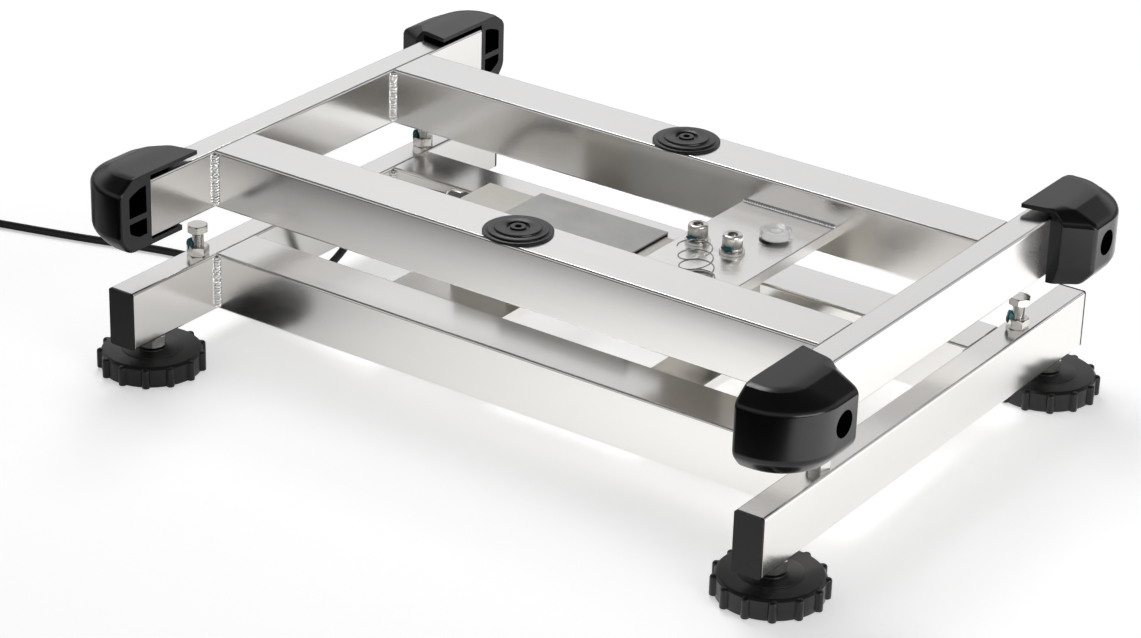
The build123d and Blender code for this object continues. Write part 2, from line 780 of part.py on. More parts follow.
# The overload stop stands in its bar just below the free end of the cell
with BuildPart() as overload_screw:
    with BuildSketch(Plane.XY.offset(base_plate_bottom - overload_screw_tail)):
        with Locations((stop_bar_offset, 0)):
            Circle(overload_screw_diameter / 2)
    extrude(amount=cell_bottom - overload_gap - base_plate_bottom + overload_screw_tail)
    chamfer(overload_screw.edges().group_by(Axis.Z)[-1], overload_screw_chamfer)
finish(overload_screw, "overload_stop_screw")

with BuildPart() as overload_nut:
    with BuildSketch(Plane.XY.offset(base_plate_top)):
        with Locations((stop_bar_offset, 0)):
            RegularPolygon(overload_nut_flats / 2, 6, major_radius=False)
            Circle(overload_screw_diameter / 2 + thread_clearance, mode=Mode.SUBTRACT)
    extrude(amount=overload_nut_height)
finish(overload_nut, "overload_stop_nut")


# A round bubble level is glued on the load plate, a clear cylinder with a low rim round its top
level_x = load_plate_offset + level_shift
level_axis = Axis((level_x, level_y, 0), (0, 0, 1))
level_plane = Plane((level_x, level_y, load_plate_top), x_dir=(1, 0, 0), z_dir=(0, -1, 0))
level_radius = level_diameter / 2
lens_top = level_height - level_rim_rise
vial_radius = level_radius - level_wall
vial_floor = level_wall
vial_top = lens_top - level_wall
with BuildPart() as level:
    with BuildSketch(level_plane):
        with BuildLine():
            Polyline((0, 0), (level_radius, 0), (level_radius, level_height),
                     (level_radius - level_rim, level_height), (level_radius - level_rim, lens_top),
                     (0, lens_top), (0, vial_top), (vial_radius, vial_top), (vial_radius, vial_floor),
                     (0, vial_floor), close=True)
        make_face()
    revolve(axis=level_axis)
finish(level, "level_housing")

bubble_radius = level_bubble_diameter / 2
bubble_top = vial_top - level_fit
with BuildPart() as liquid:
    with BuildSketch(level_plane):
        with BuildLine():
            Polyline((0, vial_floor + level_fit), (vial_radius - level_fit, vial_floor + level_fit),
                     (vial_radius - level_fit, bubble_top), (bubble_radius, bubble_top),
                     (bubble_radius, bubble_top - level_bubble_height), (0, bubble_top - level_bubble_height),
                     close=True)
        make_face()
    revolve(axis=level_axis)
finish(liquid, "level_liquid")

with BuildPart() as bubble:
    with BuildSketch(Plane.XY.offset(load_plate_top + bubble_top - level_bubble_height)):
        with Locations((level_x, level_y)):
            Circle(bubble_radius - level_fit)
    extrude(amount=level_bubble_height)
finish(bubble, "level_bubble")


# The earthing spring stands on the load plate and touches the pan from below
spring_x = load_plate_offset + spring_shift
spring_radius = (spring_diameter - spring_wire) / 2
lean_heading = math.radians(spring_lean_heading)
lean = math.radians(spring_lean)
spring_axis = (math.sin(lean) * math.cos(lean_heading), math.sin(lean) * math.sin(lean_heading),
               math.cos(lean))
spring_base_z = load_plate_top + spring_wire / 2
spring_rise = (load_top + spring_stand - spring_wire / 2 - spring_base_z) / math.cos(lean)
helix_start = Helix(pitch=spring_pitch, height=spring_rise, radius=spring_radius, direction=spring_axis,
                    mode=Mode.PRIVATE) @ 0
start_heading = math.atan2(helix_start.Y, helix_start.X)
seat_point = Vector(spring_x + spring_radius * math.cos(start_heading),
                    spring_y + spring_radius * math.sin(start_heading), spring_base_z)
helix_centre = seat_point - helix_start
with BuildPart() as spring:
    with BuildLine() as spring_line:
        Helix(pitch=spring_pitch, height=spring_rise, radius=spring_radius, center=tuple(helix_centre),
              direction=spring_axis)
    with BuildSketch(Plane(origin=spring_line.line @ 0, z_dir=spring_line.line % 0)):
        Circle(spring_wire / 2)
    sweep(is_frenet=True)
    # The lowest turn is closed flat on the plate, and the top end is left open
    with Locations((spring_x, spring_y, spring_base_z)):
        Torus(spring_radius - spring_tuck, spring_wire / 2)
finish(spring, "earthing_spring")


# A metal gland leads the cable out of the cell's fixed end
with BuildPart() as gland_body:
    with BuildSketch(Plane.YZ.offset(cell_left)):
        with Locations((0, gland_z)):
            RegularPolygon(gland_flats / 2, 6, major_radius=False)
            Circle(cable_diameter / 2 + thread_clearance, mode=Mode.SUBTRACT)
    extrude(amount=-gland_hex_length)
    with BuildSketch(Plane.YZ.offset(cell_left)):
        with Locations((0, gland_z)):
            Circle(gland_thread_diameter / 2)
            Circle(cable_diameter / 2 + thread_clearance, mode=Mode.SUBTRACT)
    extrude(amount=gland_thread_length)
finish(gland_body, "gland_body")

with BuildPart() as gland_nut:
    with BuildSketch(Plane.YZ.offset(gland_face_x)):
        with Locations((0, gland_z)):
            Circle(gland_nut_diameter / 2)
    extrude(amount=gland_nut_length)
    fillet(gland_nut.edges().group_by(Axis.X)[0], gland_nut_round)
finish(gland_nut, "gland_nut")


# The cable falls from the gland, passes under the left rail and lies on the floor
floor_z = cable_diameter / 2 + cable_rest
coil_z = tie_thickness + cable_diameter / 2
upper_turn_z = coil_z + (coil_layers - 1) * cable_diameter
outer_turn = coil_radius + (coil_rows - 1) / 2 * cable_diameter
cable_route = [
    (gland_face_x, 0.0, gland_z),
    (-146.0, 0.0, gland_z),
    (-168.0, -1.5, 88.0),
    (-186.0, -4.5, 71.0),
    (-199.0, -8.5, 51.0),
    (-211.0, -13.5, 30.0),
    (-227.0, -17.0, 14.0),
    (-249.0, -19.0, 5.5),
    (-277.0, -20.0, floor_z),
    (-309.0, -21.5, floor_z),
    (-344.5, -27.6, floor_z),
    (-376.0, -37.0, floor_z),
    (-408.0, -48.5, floor_z),
    (-443.0, -59.0, floor_z),
    (-484.0, -71.0, floor_z + 0.2),
    (-524.0, -83.5, coil_z),
]
route_heading = math.atan2(cable_route[-1][1] - cable_route[-2][1], cable_route[-1][0] - cable_route[-2][0])
coil_x = cable_route[-1][0] - outer_turn * math.sin(route_heading)
coil_y = cable_route[-1][1] + outer_turn * math.cos(route_heading)
connector_z = connector_diameter / 2 + cable_rest
tail_route = [
    (coil_x - outer_turn, coil_y, upper_turn_z),
    (coil_x - outer_turn, coil_y - 15.0, upper_turn_z),
    (coil_x - outer_turn - 0.8, coil_y - 29.0, connector_z),
    (coil_x - outer_turn - 0.8, coil_y - 43.0, connector_z),
]


def arc_radii(points):
    """Give each inner corner the radius that its share of the shorter run allows, and print it."""
    radii = []
    for before, here, after in zip(points, points[1:], points[2:]):
        run_in = Vector(*here) - Vector(*before)
        run_out = Vector(*after) - Vector(*here)
        half_turn = math.radians(run_in.get_angle(run_out)) / 2
        shorter = min(run_in.length, run_out.length)
        radii.append(cable_arc_share * shorter / math.tan(half_turn))
    print("cable arc radii", [round(radius) for radius in radii])
    return radii


def cable_tube(label, points):
    """Sweep the cable's round section along straight runs joined by arcs."""
    with BuildPart() as tube:
        with BuildLine() as route:
            FilletPolyline(*points, radius=arc_radii(points))
        with BuildSketch(Plane(origin=route.line @ 0, z_dir=route.line % 0)):
            Circle(cable_diameter / 2)
        sweep()
    length = route.wires()[0].length
    ratio = tube.part.volume / (math.pi * cable_diameter ** 2 / 4 * length)
    print(label, "length", round(length, 1), "volume against section times length", round(ratio, 4))
    finish(tube, label)


cable_tube("cable", cable_route)
cable_tube("cable_tail", tail_route)

# The spare length is wound in a flat coil of two layers, closed with a strap tie
coil_plane = Plane((coil_x, coil_y, 0), x_dir=(1, 0, 0), z_dir=(0, -1, 0))
coil_width = coil_rows * cable_diameter
coil_height = coil_layers * cable_diameter
with BuildPart() as coil_pack:
    with BuildSketch(coil_plane):
        with Locations((coil_radius, tie_thickness)):
            Rectangle(coil_width, coil_height, align=(Align.CENTER, Align.MIN))
    revolve(axis=Axis((coil_x, coil_y, 0), (0, 0, 1)))
finish(coil_pack, "cable_coil")

tie_turn = math.radians(tie_angle)
tie_plane = Plane((coil_x, coil_y, 0), x_dir=(math.cos(tie_turn), math.sin(tie_turn), 0),
                  z_dir=(math.sin(tie_turn), -math.cos(tie_turn), 0))
with BuildPart() as tie:
    with BuildSketch(tie_plane):
        with Locations((coil_radius, 0)):
            Rectangle(coil_width + 2 * (tie_room + tie_thickness), coil_height + 2 * tie_thickness,
                      align=(Align.CENTER, Align.MIN))
        with Locations((coil_radius, tie_thickness)):
            Rectangle(coil_width + 2 * tie_room, coil_height, align=(Align.CENTER, Align.MIN),
                      mode=Mode.SUBTRACT)
    extrude(amount=tie_width / 2, both=True)
finish(tie, "coil_tie")

# A round plug for the indicator ends the cable
connector_start = Vector(*tail_route[-1])
connector_plane = Plane(connector_start, x_dir=(1, 0, 0), z_dir=(0, 0, 1))
connector_axis = Axis(tuple(connector_start), (0, -1, 0))
neck_radius = connector_neck_diameter / 2
shell_radius = connector_diameter / 2
socket_radius = shell_radius - connector_rim
socket_floor = connector_length - connector_socket_depth
with BuildPart() as connector:
    with BuildSketch(connector_plane):
        with BuildLine():
            Polyline((0, 0), (neck_radius - connector_edge, 0), (neck_radius, -connector_neck_length),
                     (shell_radius - connector_edge, -connector_neck_length),
                     (shell_radius, -connector_neck_length - connector_shoulder),
                     (shell_radius, connector_edge - connector_length),
                     (shell_radius - connector_edge, -connector_length),
                     (socket_radius, -connector_length), (socket_radius, -socket_floor),
                     (0, -socket_floor), close=True)
        make_face()
    revolve(axis=connector_axis)
finish(connector, "connector_shell")

with BuildPart() as connector_insert:
    with BuildSketch(Plane.XZ.offset(socket_floor - connector_start.Y)):
        with Locations((connector_start.X, connector_start.Z)):
            Circle(socket_radius - connector_insert_fit)
            with PolarLocations(contact_circle / 2, contact_count):
                Circle(contact_diameter / 2, mode=Mode.SUBTRACT)
    extrude(amount=connector_insert_depth)
finish(connector_insert, "connector_insert")
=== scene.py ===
# %% [markdown]
# # A platform scale, dressed for a studio picture
#
# The real object is the base of a bench scale with its pan taken off: two frames of stainless
# tube, one above the other, joined by a load cell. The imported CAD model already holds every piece
# at its real size. This notebook gives those pieces their looks. It works in metres, in the CAD
# model's own frame, so a piece made here goes exactly where its CAD node is.

# %% Load the frame
import math

import bmesh
import bpy
import numpy as np
from mathutils import Matrix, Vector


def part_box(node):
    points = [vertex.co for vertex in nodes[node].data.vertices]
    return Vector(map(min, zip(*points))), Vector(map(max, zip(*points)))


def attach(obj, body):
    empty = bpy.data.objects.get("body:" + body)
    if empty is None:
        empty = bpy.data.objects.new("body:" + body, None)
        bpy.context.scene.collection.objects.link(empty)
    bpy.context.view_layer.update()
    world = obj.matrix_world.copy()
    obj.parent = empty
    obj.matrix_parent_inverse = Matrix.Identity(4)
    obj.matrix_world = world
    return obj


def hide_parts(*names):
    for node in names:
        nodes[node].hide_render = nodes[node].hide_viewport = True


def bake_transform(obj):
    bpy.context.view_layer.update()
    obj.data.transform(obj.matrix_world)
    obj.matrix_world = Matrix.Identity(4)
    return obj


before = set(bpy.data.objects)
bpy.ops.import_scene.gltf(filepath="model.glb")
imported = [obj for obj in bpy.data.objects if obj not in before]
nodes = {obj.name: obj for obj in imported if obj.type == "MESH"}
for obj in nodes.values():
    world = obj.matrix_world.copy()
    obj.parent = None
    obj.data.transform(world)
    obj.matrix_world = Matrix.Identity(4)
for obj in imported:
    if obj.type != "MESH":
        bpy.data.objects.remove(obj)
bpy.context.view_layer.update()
MM = 0.001


def box_of(node):
    """Give a CAD node's lowest and highest corners as two arrays."""
    low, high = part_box(node)
    return np.array(low), np.array(high)


def middle_of(node):
    """Give the middle of a CAD node's box."""
    low, high = box_of(node)
    return (low + high) / 2


def add(name, data):
    """Put a new object with this data into the scene."""
    made = bpy.data.objects.new(name, data)
    bpy.context.scene.collection.objects.link(made)
    return made


def stand(thing, place, right, up, back):
    """Place a camera or a lamp. It looks away from its back vector."""
    matrix = np.eye(4)
    matrix[:3, :3] = np.column_stack([right, up, back])
    matrix[:3, 3] = place
    thing.matrix_world = Matrix(matrix.tolist())


# %% [markdown]
# ## The camera
#
# The camera comes first, because everything after it is judged through it. Its place and lens were
# found by fitting a pinhole camera to straight edges of the tubes, whose real sizes are known. The
# horizontal field follows from the focal length in pixels of a picture 1141 pixels wide.

# %% Camera
PICTURE_WIDTH = 1141
FOCAL_PIXELS = 3361.0
SENSOR = 36.0
CAMERA_PLACE = (1.1110, -1.6377, 0.9860)
CAMERA_AZIMUTH = 34.717
CAMERA_ELEVATION = 25.481
CAMERA_ROLL = 1.70


def camera_axes(azimuth, elevation, roll):
    """Give right, up and back vectors. Back points from the target to the camera, and roll turns
    right and up about it."""
    a, e, r = np.radians([azimuth, elevation, roll])
    back = np.array([np.sin(a) * np.cos(e), -np.cos(a) * np.cos(e), np.sin(e)])
    level = np.array([np.cos(a), np.sin(a), 0.0])
    upright = np.cross(back, level)
    right = np.cos(r) * level + np.sin(r) * upright
    up = -np.sin(r) * level + np.cos(r) * upright
    return right, up, back


camera_data = bpy.data.cameras.new("camera")
camera_data.sensor_width = SENSOR
camera_data.lens = FOCAL_PIXELS / PICTURE_WIDTH * SENSOR
camera_data.clip_start = 0.05
camera_data.clip_end = 50.0
camera = add("camera", camera_data)
stand(camera, CAMERA_PLACE, *camera_axes(CAMERA_AZIMUTH, CAMERA_ELEVATION, CAMERA_ROLL))
bpy.context.scene.camera = camera
print("lens", round(camera_data.lens, 2), "mm")

# %% [markdown]
# ## Writing shaders as sums
#
# A node tree is hard to read as a list of links. Wrapping an output socket in a small class lets a
# roughness be written as `0.3 + 0.1 * noise`, and each operator adds the Math node for it. Any other
# node comes from one method, which first makes the node's settings and then fills its sockets.


# %% Sockets with arithmetic, and the node method
def arithmetic(operation, reflected=False):
    """Give a method that adds one Math node. In its reflected form the wire stands on the right."""
    def method(self, other):
        return self.math(operation, other, self) if reflected else self.math(operation, self, other)
    return method


class Wire:
    """An output socket that can be added, subtracted and multiplied."""

    def __init__(self, tree, socket):
        self.tree = tree
        self.socket = socket

    def math(self, operation, first, second):
        return self.tree.node("ShaderNodeMath", {"operation": operation}, {0: first, 1: second})

    __add__, __radd__ = arithmetic("ADD"), arithmetic("ADD", True)
    __sub__, __rsub__ = arithmetic("SUBTRACT"), arithmetic("SUBTRACT", True)
    __mul__, __rmul__ = arithmetic("MULTIPLY"), arithmetic("MULTIPLY", True)


class Tree:
    """One node tree being built. The node method adds any node and gives its chosen output."""

    def __init__(self, tree):
        self.tree = tree
        self.tree.nodes.clear()

    def node(self, kind, settings=None, inputs=None, output=0):
        made = self.tree.nodes.new(kind)
        for key, value in (settings or {}).items():
            if key == "stops":
                ramp = made.color_ramp
                while len(ramp.elements) < len(value):
                    ramp.elements.new(0.5)
                for element, (place, colour) in zip(ramp.elements, value):
                    element.position = place
                    element.color = colour
            else:
                setattr(made, key, value)
        for key, value in (inputs or {}).items():
            if isinstance(value, Wire):
                self.tree.links.new(value.socket, made.inputs[key])
            else:
                made.inputs[key].default_value = value
        return Wire(self, made.outputs[output]) if made.outputs else None

    def place(self, stretch=(1.0, 1.0, 1.0)):
        """Give the object coordinates, in metres, scaled by stretch along each axis."""
        where = self.node("ShaderNodeTexCoord", output="Object")
        return self.node("ShaderNodeMapping", inputs={"Vector": where, "Scale": stretch})

    def noise(self, stretch, detail=3.0):
        """Give a noise value about 0.5 over the stretched object coordinates."""
        return self.node("ShaderNodeTexNoise", inputs={"Vector": self.place(stretch), "Scale": 1.0,
                                                       "Detail": detail, "Roughness": 0.55})

    def ramp(self, value, low, high):
        """Rise smoothly from 0 where the value is low to 1 where it is high."""
        return self.node("ShaderNodeMapRange", {"interpolation_type": "SMOOTHSTEP"},
                         {"Value": value, "From Min": low, "From Max": high})

    def ray(self, kind):
        """Give 1 for rays of one kind, such as Camera or Glossy, and 0 for all others."""
        return self.node("ShaderNodeLightPath", output="Is " + kind + " Ray")

    def blend(self, amount, low, high):
        """Mix two colours by a value between 0 and 1."""
        low, high = (value if isinstance(value, Wire) else (*value, 1.0) for value in (low, high))
        return self.node("ShaderNodeMix", {"data_type": "RGBA"}, {0: amount, 6: low, 7: high}, output=2)

    def bump(self, height, distance, strength=1.0):
        """Turn a height value into a bent normal. Distance is the relief's depth in metres."""
        return self.node("ShaderNodeBump", inputs={"Height": height, "Distance": distance,
                                                   "Strength": strength})


class Finish(Tree):
    """One material being built."""

    def __init__(self, name):
        self.material = bpy.data.materials.new(name)
        self.material.use_nodes = True
        super().__init__(self.material.node_tree)

    def surface(self, **inputs):
        """Close the material with a Principled surface. Underscores stand for spaces."""
        names = {key.replace("_", " "): value for key, value in inputs.items()}
        shader = self.node("ShaderNodeBsdfPrincipled", inputs=names)
        self.node("ShaderNodeOutputMaterial", inputs={"Surface": shader})
        return self.material


# %% [markdown]
# ## Finishes
#
# Stainless tube is drawn through a die and then brushed, so its fine scratches run along its length.
# Noise that is squeezed across the tube and stretched along it gives those scratches, both as a very
# shallow bump and as a change of roughness. Long and short tubes need their own direction.


# %% Brushed stainless
STEEL = (0.80, 0.785, 0.765)
FINE_ACROSS, FINE_ALONG = 1600.0, 9.0
BROAD_ACROSS, BROAD_ALONG = 60.0, 5.0


def brushed(name, along, roughness=0.19, relief=0.000001, streaks=0.05):
    """Brushed steel whose scratches run along axis 0, 1 or 2. The clouds are much broader."""
    steel = Finish(name)
    fine, broad = [FINE_ACROSS] * 3, [BROAD_ACROSS] * 3
    fine[along], broad[along] = FINE_ALONG, BROAD_ALONG
    scratches = steel.noise(fine, detail=4.0)
    clouds = steel.noise(broad, detail=2.0)
    tint = steel.blend(clouds, [0.97 * c for c in STEEL], [1.03 * c for c in STEEL])
    return steel.surface(Base_Color=tint, Metallic=1.0,
                         Roughness=roughness - 0.05 + streaks * scratches + 0.05 * clouds,
                         Normal=steel.bump(scratches, relief, 0.5))


tube_along_x = brushed("tube_steel_along_x", 0)
tube_along_y = brushed("tube_steel_along_y", 1)
plate_steel = brushed("plate_steel", 1, roughness=0.28, relief=0.00000004, streaks=0.01)


# %% Bright fasteners and welds
def bright(name, colour, roughness, grain, relief=0.00002):
    """Smooth bare metal with a little uneven polish."""
    metal = Finish(name)
    patches = metal.noise((grain, grain, grain), detail=3.0)
    tint = metal.blend(patches, [0.90 * c for c in colour], [min(1.0, 1.06 * c) for c in colour])
    return metal.surface(Base_Color=tint, Metallic=1.0, Roughness=roughness - 0.06 + 0.12 * patches,
                         Normal=metal.bump(patches, relief, 0.4))


screw_steel = bright("screw_steel", (0.66, 0.645, 0.61), 0.20, 500.0)
weld_metal = bright("weld_metal", (0.95, 0.945, 0.93), 0.26, 520.0, 0.0002)
gland_nickel = bright("gland_nickel", (0.60, 0.58, 0.53), 0.22, 600.0)
cell_aluminium = bright("cell_aluminium", (0.56, 0.54, 0.50), 0.42, 260.0)
spring_wire = bright("spring_wire", (0.36, 0.35, 0.34), 0.24, 900.0)


# %% [markdown]
# Moulded black plastic is never flat black: spark-eroded moulds leave a fine grain that breaks up
# the highlight, and handled corners shine more. The grain is a noise bump a few hundredths of a
# millimetre deep. Rubber is the same idea with a softer sheen.


# %% Black plastics and rubber
def moulded(name, colour, roughness, grain, relief, ior=1.42):
    """Moulded plastic or rubber with a fine grain of the given size per metre."""
    skin = Finish(name)
    grains = skin.noise((grain, grain, grain), detail=2.0)
    wear = skin.noise((35.0, 35.0, 35.0), detail=4.0)
    tint = skin.blend(wear, [0.75 * c for c in colour], [1.35 * c for c in colour])
    return skin.surface(Base_Color=tint, Roughness=roughness - 0.05 + 0.12 * wear,
                        Normal=skin.bump(grains, relief, 0.5), IOR=ior)


bumper_plastic = moulded("bumper_plastic", (0.0025, 0.0025, 0.0026), 0.20, 1500.0, 0.00001, 1.38)
rim_plastic = moulded("rim_plastic", (0.035, 0.035, 0.036), 0.55, 900.0, 0.0001)
knob_plastic = moulded("knob_plastic", (0.006, 0.006, 0.0062), 0.32, 1300.0, 0.00003)
cap_plastic = moulded("cap_plastic", (0.005, 0.005, 0.0052), 0.28, 1600.0, 0.00001, 1.34)
pad_rubber = moulded("pad_rubber", (0.010, 0.010, 0.011), 0.28, 1900.0, 0.00001)
sole_rubber = moulded("sole_rubber", (0.03, 0.03, 0.03), 0.75, 900.0, 0.00006)
seal_foam = moulded("seal_foam", (0.008, 0.008, 0.008), 0.85, 1200.0, 0.0001)
cable_jacket = moulded("cable_jacket", (0.011, 0.011, 0.012), 0.40, 1400.0, 0.00002)
cover_paint = moulded("cover_paint", (0.52, 0.515, 0.50), 0.42, 1000.0, 0.00001)
lacquer = moulded("lacquer", (0.012, 0.095, 0.115), 0.22, 500.0, 0.00008)
tie_web = moulded("tie_web", (0.02, 0.02, 0.021), 0.7, 2500.0, 0.0001)

# %% [markdown]
# ## Surfaces from grids
#
# Most pieces here are either turned, like a screw head, or carried, like a tube. Both are a grid of
# points: one direction walks along the profile and the other round the axis or along the path. The
# grid is worked out as one array and handed to the mesh in one go. Doubled points at poles and seams
# are then merged, and the faces are turned to point outwards.


# %% From a grid of points to a piece
def grid_piece(name, grids, material, sharp=35.0):
    """Make one mesh from grids of points. Each grid is (points, close_rows, close_columns)."""
    vertices, faces, start = [], [], 0
    for points, close_rows, close_columns in grids:
        rows, columns = points.shape[:2]
        row = np.arange(rows if close_rows else rows - 1)[:, None]
        column = np.arange(columns if close_columns else columns - 1)[None, :]
        next_row = (row + 1) % rows
        next_column = (column + 1) % columns
        quads = np.stack(np.broadcast_arrays(row * columns + column, row * columns + next_column,
                                             next_row * columns + next_column,
                                             next_row * columns + column), axis=-1)
        vertices.append(points.reshape(-1, 3))
        faces.append(quads.reshape(-1, 4) + start)
        start += rows * columns
    mesh = bpy.data.meshes.new(name)
    mesh.from_pydata(np.concatenate(vertices).tolist(), [], np.concatenate(faces).tolist())
    piece = add(name, mesh)
    tidy_mesh(piece, material, sharp)
    return piece


def tidy_mesh(piece, material, sharp):
    """Merge doubled points, drop faces without area, point faces outwards and shade smoothly."""
    mesh = piece.data
    work = bmesh.new()
    work.from_mesh(mesh)
    bmesh.ops.remove_doubles(work, verts=work.verts, dist=1e-7)
    bmesh.ops.dissolve_degenerate(work, dist=1e-7, edges=work.edges)
    bmesh.ops.recalc_face_normals(work, faces=work.faces)
    work.to_mesh(mesh)
    work.free()
    mesh.shade_smooth()
    mesh.set_sharp_from_angle(angle=math.radians(sharp))
    mesh.materials.clear()
    mesh.materials.append(material)


def dress(piece, body, *stands_for, slot=None):
    """Let a new piece ride on its body and stand for its CAD nodes. The slot argument is not used."""
    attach(piece, body)
    if stands_for:
        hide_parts(*stands_for)
    return piece


def make(name, grids, material, body, *stands_for, slot=None, sharp=30):
    """Make a piece from grids and dress it."""
    return dress(grid_piece(name, grids, material, sharp), body, *stands_for, slot=slot)


def steel(name, grids, body, node):
    """Make a bright steel piece that stands for one CAD node."""
    make(name, grids, screw_steel, body, node, slot="screw_steel")


def values_of(items, name):
    """Read a place or a normal of every point or face of a mesh."""
    values = np.empty(len(items) * 3)
    items.foreach_get(name, values)
    return values.reshape(-1, 3)


# %% Rounded outlines, turned shapes, closed ends and eased edges
def rounded(points, radii, steps=5):
    """Replace the corners of a closed flat polyline by arcs that touch both sides. An arc's centre
    lies on the corner's bisector, at radius / sin(half the corner's angle) from the corner."""
    points = np.asarray(points, float)
    count = len(points)
    out = []
    for i in range(count):
        radius = radii[i] if np.ndim(radii) else radii
        if radius <= 0:
            out.append(points[i][None])
            continue
        back = points[i - 1] - points[i]
        ahead = points[(i + 1) % count] - points[i]
        back = back / np.linalg.norm(back)
        ahead = ahead / np.linalg.norm(ahead)
        half = np.arccos(np.clip(back @ ahead, -1, 1)) / 2
        bisector = (back + ahead) / np.linalg.norm(back + ahead)
        centre = points[i] + bisector * radius / np.sin(half)
        first = points[i] + back * radius / np.tan(half) - centre
        last = points[i] + ahead * radius / np.tan(half) - centre
        sweep = np.pi - 2 * half
        part = np.linspace(0, 1, steps + 1)[:, None]
        arc = np.sin((1 - part) * sweep) * first + np.sin(part * sweep) * last
        out.append(centre + arc / np.sin(sweep))
    return np.concatenate(out)


def about(radius, height, angle, centre=(0, 0, 0), axis=2):
    """Place points by radius, height and angle about an upright axis, or X or Y, through centre."""
    one, two = radius * np.cos(angle), radius * np.sin(angle)
    order = {2: (one, two, height), 0: (height, one, two), 1: (two, height, one)}[axis]
    return np.stack(np.broadcast_arrays(*order), axis=-1) + np.asarray(centre, float)


def turned(profile, centre, turns=72, axis=2, ring=False):
    """Turn a profile of (radius, height) pairs in millimetres. A ring's profile is a closed loop."""
    radius, height = np.asarray(profile, float).T[:, :, None] * MM
    angle = np.linspace(0, 2 * np.pi, turns, endpoint=False)
    return about(radius, height, angle, centre, axis), ring, True


def capped(rows):
    """Add a first and a last row that are drawn together in their neighbour's middle."""
    first, last = (np.broadcast_to(row.mean(axis=0), row.shape)[None] for row in (rows[0], rows[-1]))
    return np.concatenate([first, rows, last])


def ease_edges(piece, width, segments, angle):
    """Bevel a piece's sharp edges, then keep its flat faces flat to the eye."""
    bevel = piece.modifiers.new("ease", "BEVEL")
    bevel.width = width
    bevel.segments = segments
    bevel.limit_method = "ANGLE"
    bevel.angle_limit = math.radians(angle)
    even_normals(piece)


def even_normals(piece):
    """Let large faces lead the shading where they meet rounded edges."""
    normals = piece.modifiers.new("normals", "WEIGHTED_NORMAL")
    normals.keep_sharp = True


# %% [markdown]
# ## The tubes
#
# Each rail is a closed wall: the outer skin goes from one end to the other, turns over the cut end
# and comes back along the bore. Carrying a rounded rectangle along that path gives the whole wall in
# one grid. The corner radius is small, and it is what draws the bright line along every edge.

# %% Rails
TUBE_WALL = 1.5 * MM
TUBE_CORNER = 1.8 * MM
TUBE_INNER_CORNER = 0.3 * MM
CUT_EDGE = 0.25 * MM


def tube_rail(node, along, body, material):
    """Make a tube that fills a CAD rail's box, open at its two ends."""
    low, high = box_of(node)
    across = [axis for axis in range(3) if axis != along]
    centre = (low + high) / 2
    half = (high - low)[across] / 2

    def section(shrink, corner):
        a, b = half - shrink
        return rounded([(-a, -b), (a, -b), (a, b), (-a, b)], corner, steps=7)

    outer = section(0.0, TUBE_CORNER)
    eased = section(CUT_EDGE, TUBE_CORNER - CUT_EDGE)
    inner = section(TUBE_WALL, TUBE_INNER_CORNER)
    stations = [(outer, low[along] + CUT_EDGE), (outer, high[along] - CUT_EDGE), (eased, high[along]),
                (inner, high[along]), (inner, low[along]), (eased, low[along])]
    points = np.zeros((len(stations), len(outer), 3))
    for row, (loop, place) in enumerate(stations):
        points[row, :, across[0]] = loop[:, 0] + centre[across[0]]
        points[row, :, across[1]] = loop[:, 1] + centre[across[1]]
        points[row, :, along] = place
    rail = grid_piece(node + "_tube", [(points, True, True)], material)
    even_normals(rail)
    return dress(rail, body, node, slot="tube_steel")


for place in ("front", "back"):
    tube_rail("base_rail_" + place, 0, "base", tube_along_x)
    tube_rail("load_rail_" + place, 0, "platform", tube_along_x)
for place in ("left", "right"):
    tube_rail("base_rail_" + place, 1, "base", tube_along_y)
    tube_rail("load_rail_" + place, 1, "platform", tube_along_y)

# %% [markdown]
# ## Weld beads
#
# A fillet weld fills the corner between two tubes, or between a plate and a tube. Each droplet that
# froze leaves a curved ripple, so the bead is a fan in the corner whose reach swells and shrinks
# along its length. The phase of that wave changes across the fan, and that bends the ripples into
# small arcs. A slow random drift of the reach keeps the bead from looking machined.

# %% Fillet beads
RIPPLE_PITCH = 1.9 * MM
WELD_LEG = 3.5 * MM
PLATE_LEG = 1.9 * MM
WELD_START = 1.8 * MM
RIPPLE, PLATE_RIPPLE = 0.30, 0.08
RIPPLE_BEND = 2.2
BULGE = 1.35
base_top = box_of("base_rail_front")[1][2]
load_top = box_of("load_rail_front")[1][2]
RAIL_END_X = box_of("base_rail_front")[1][0]
rail_back_low, rail_back_high = box_of("base_rail_back")
rail_faces_y = (rail_back_low[1], rail_back_high[1])


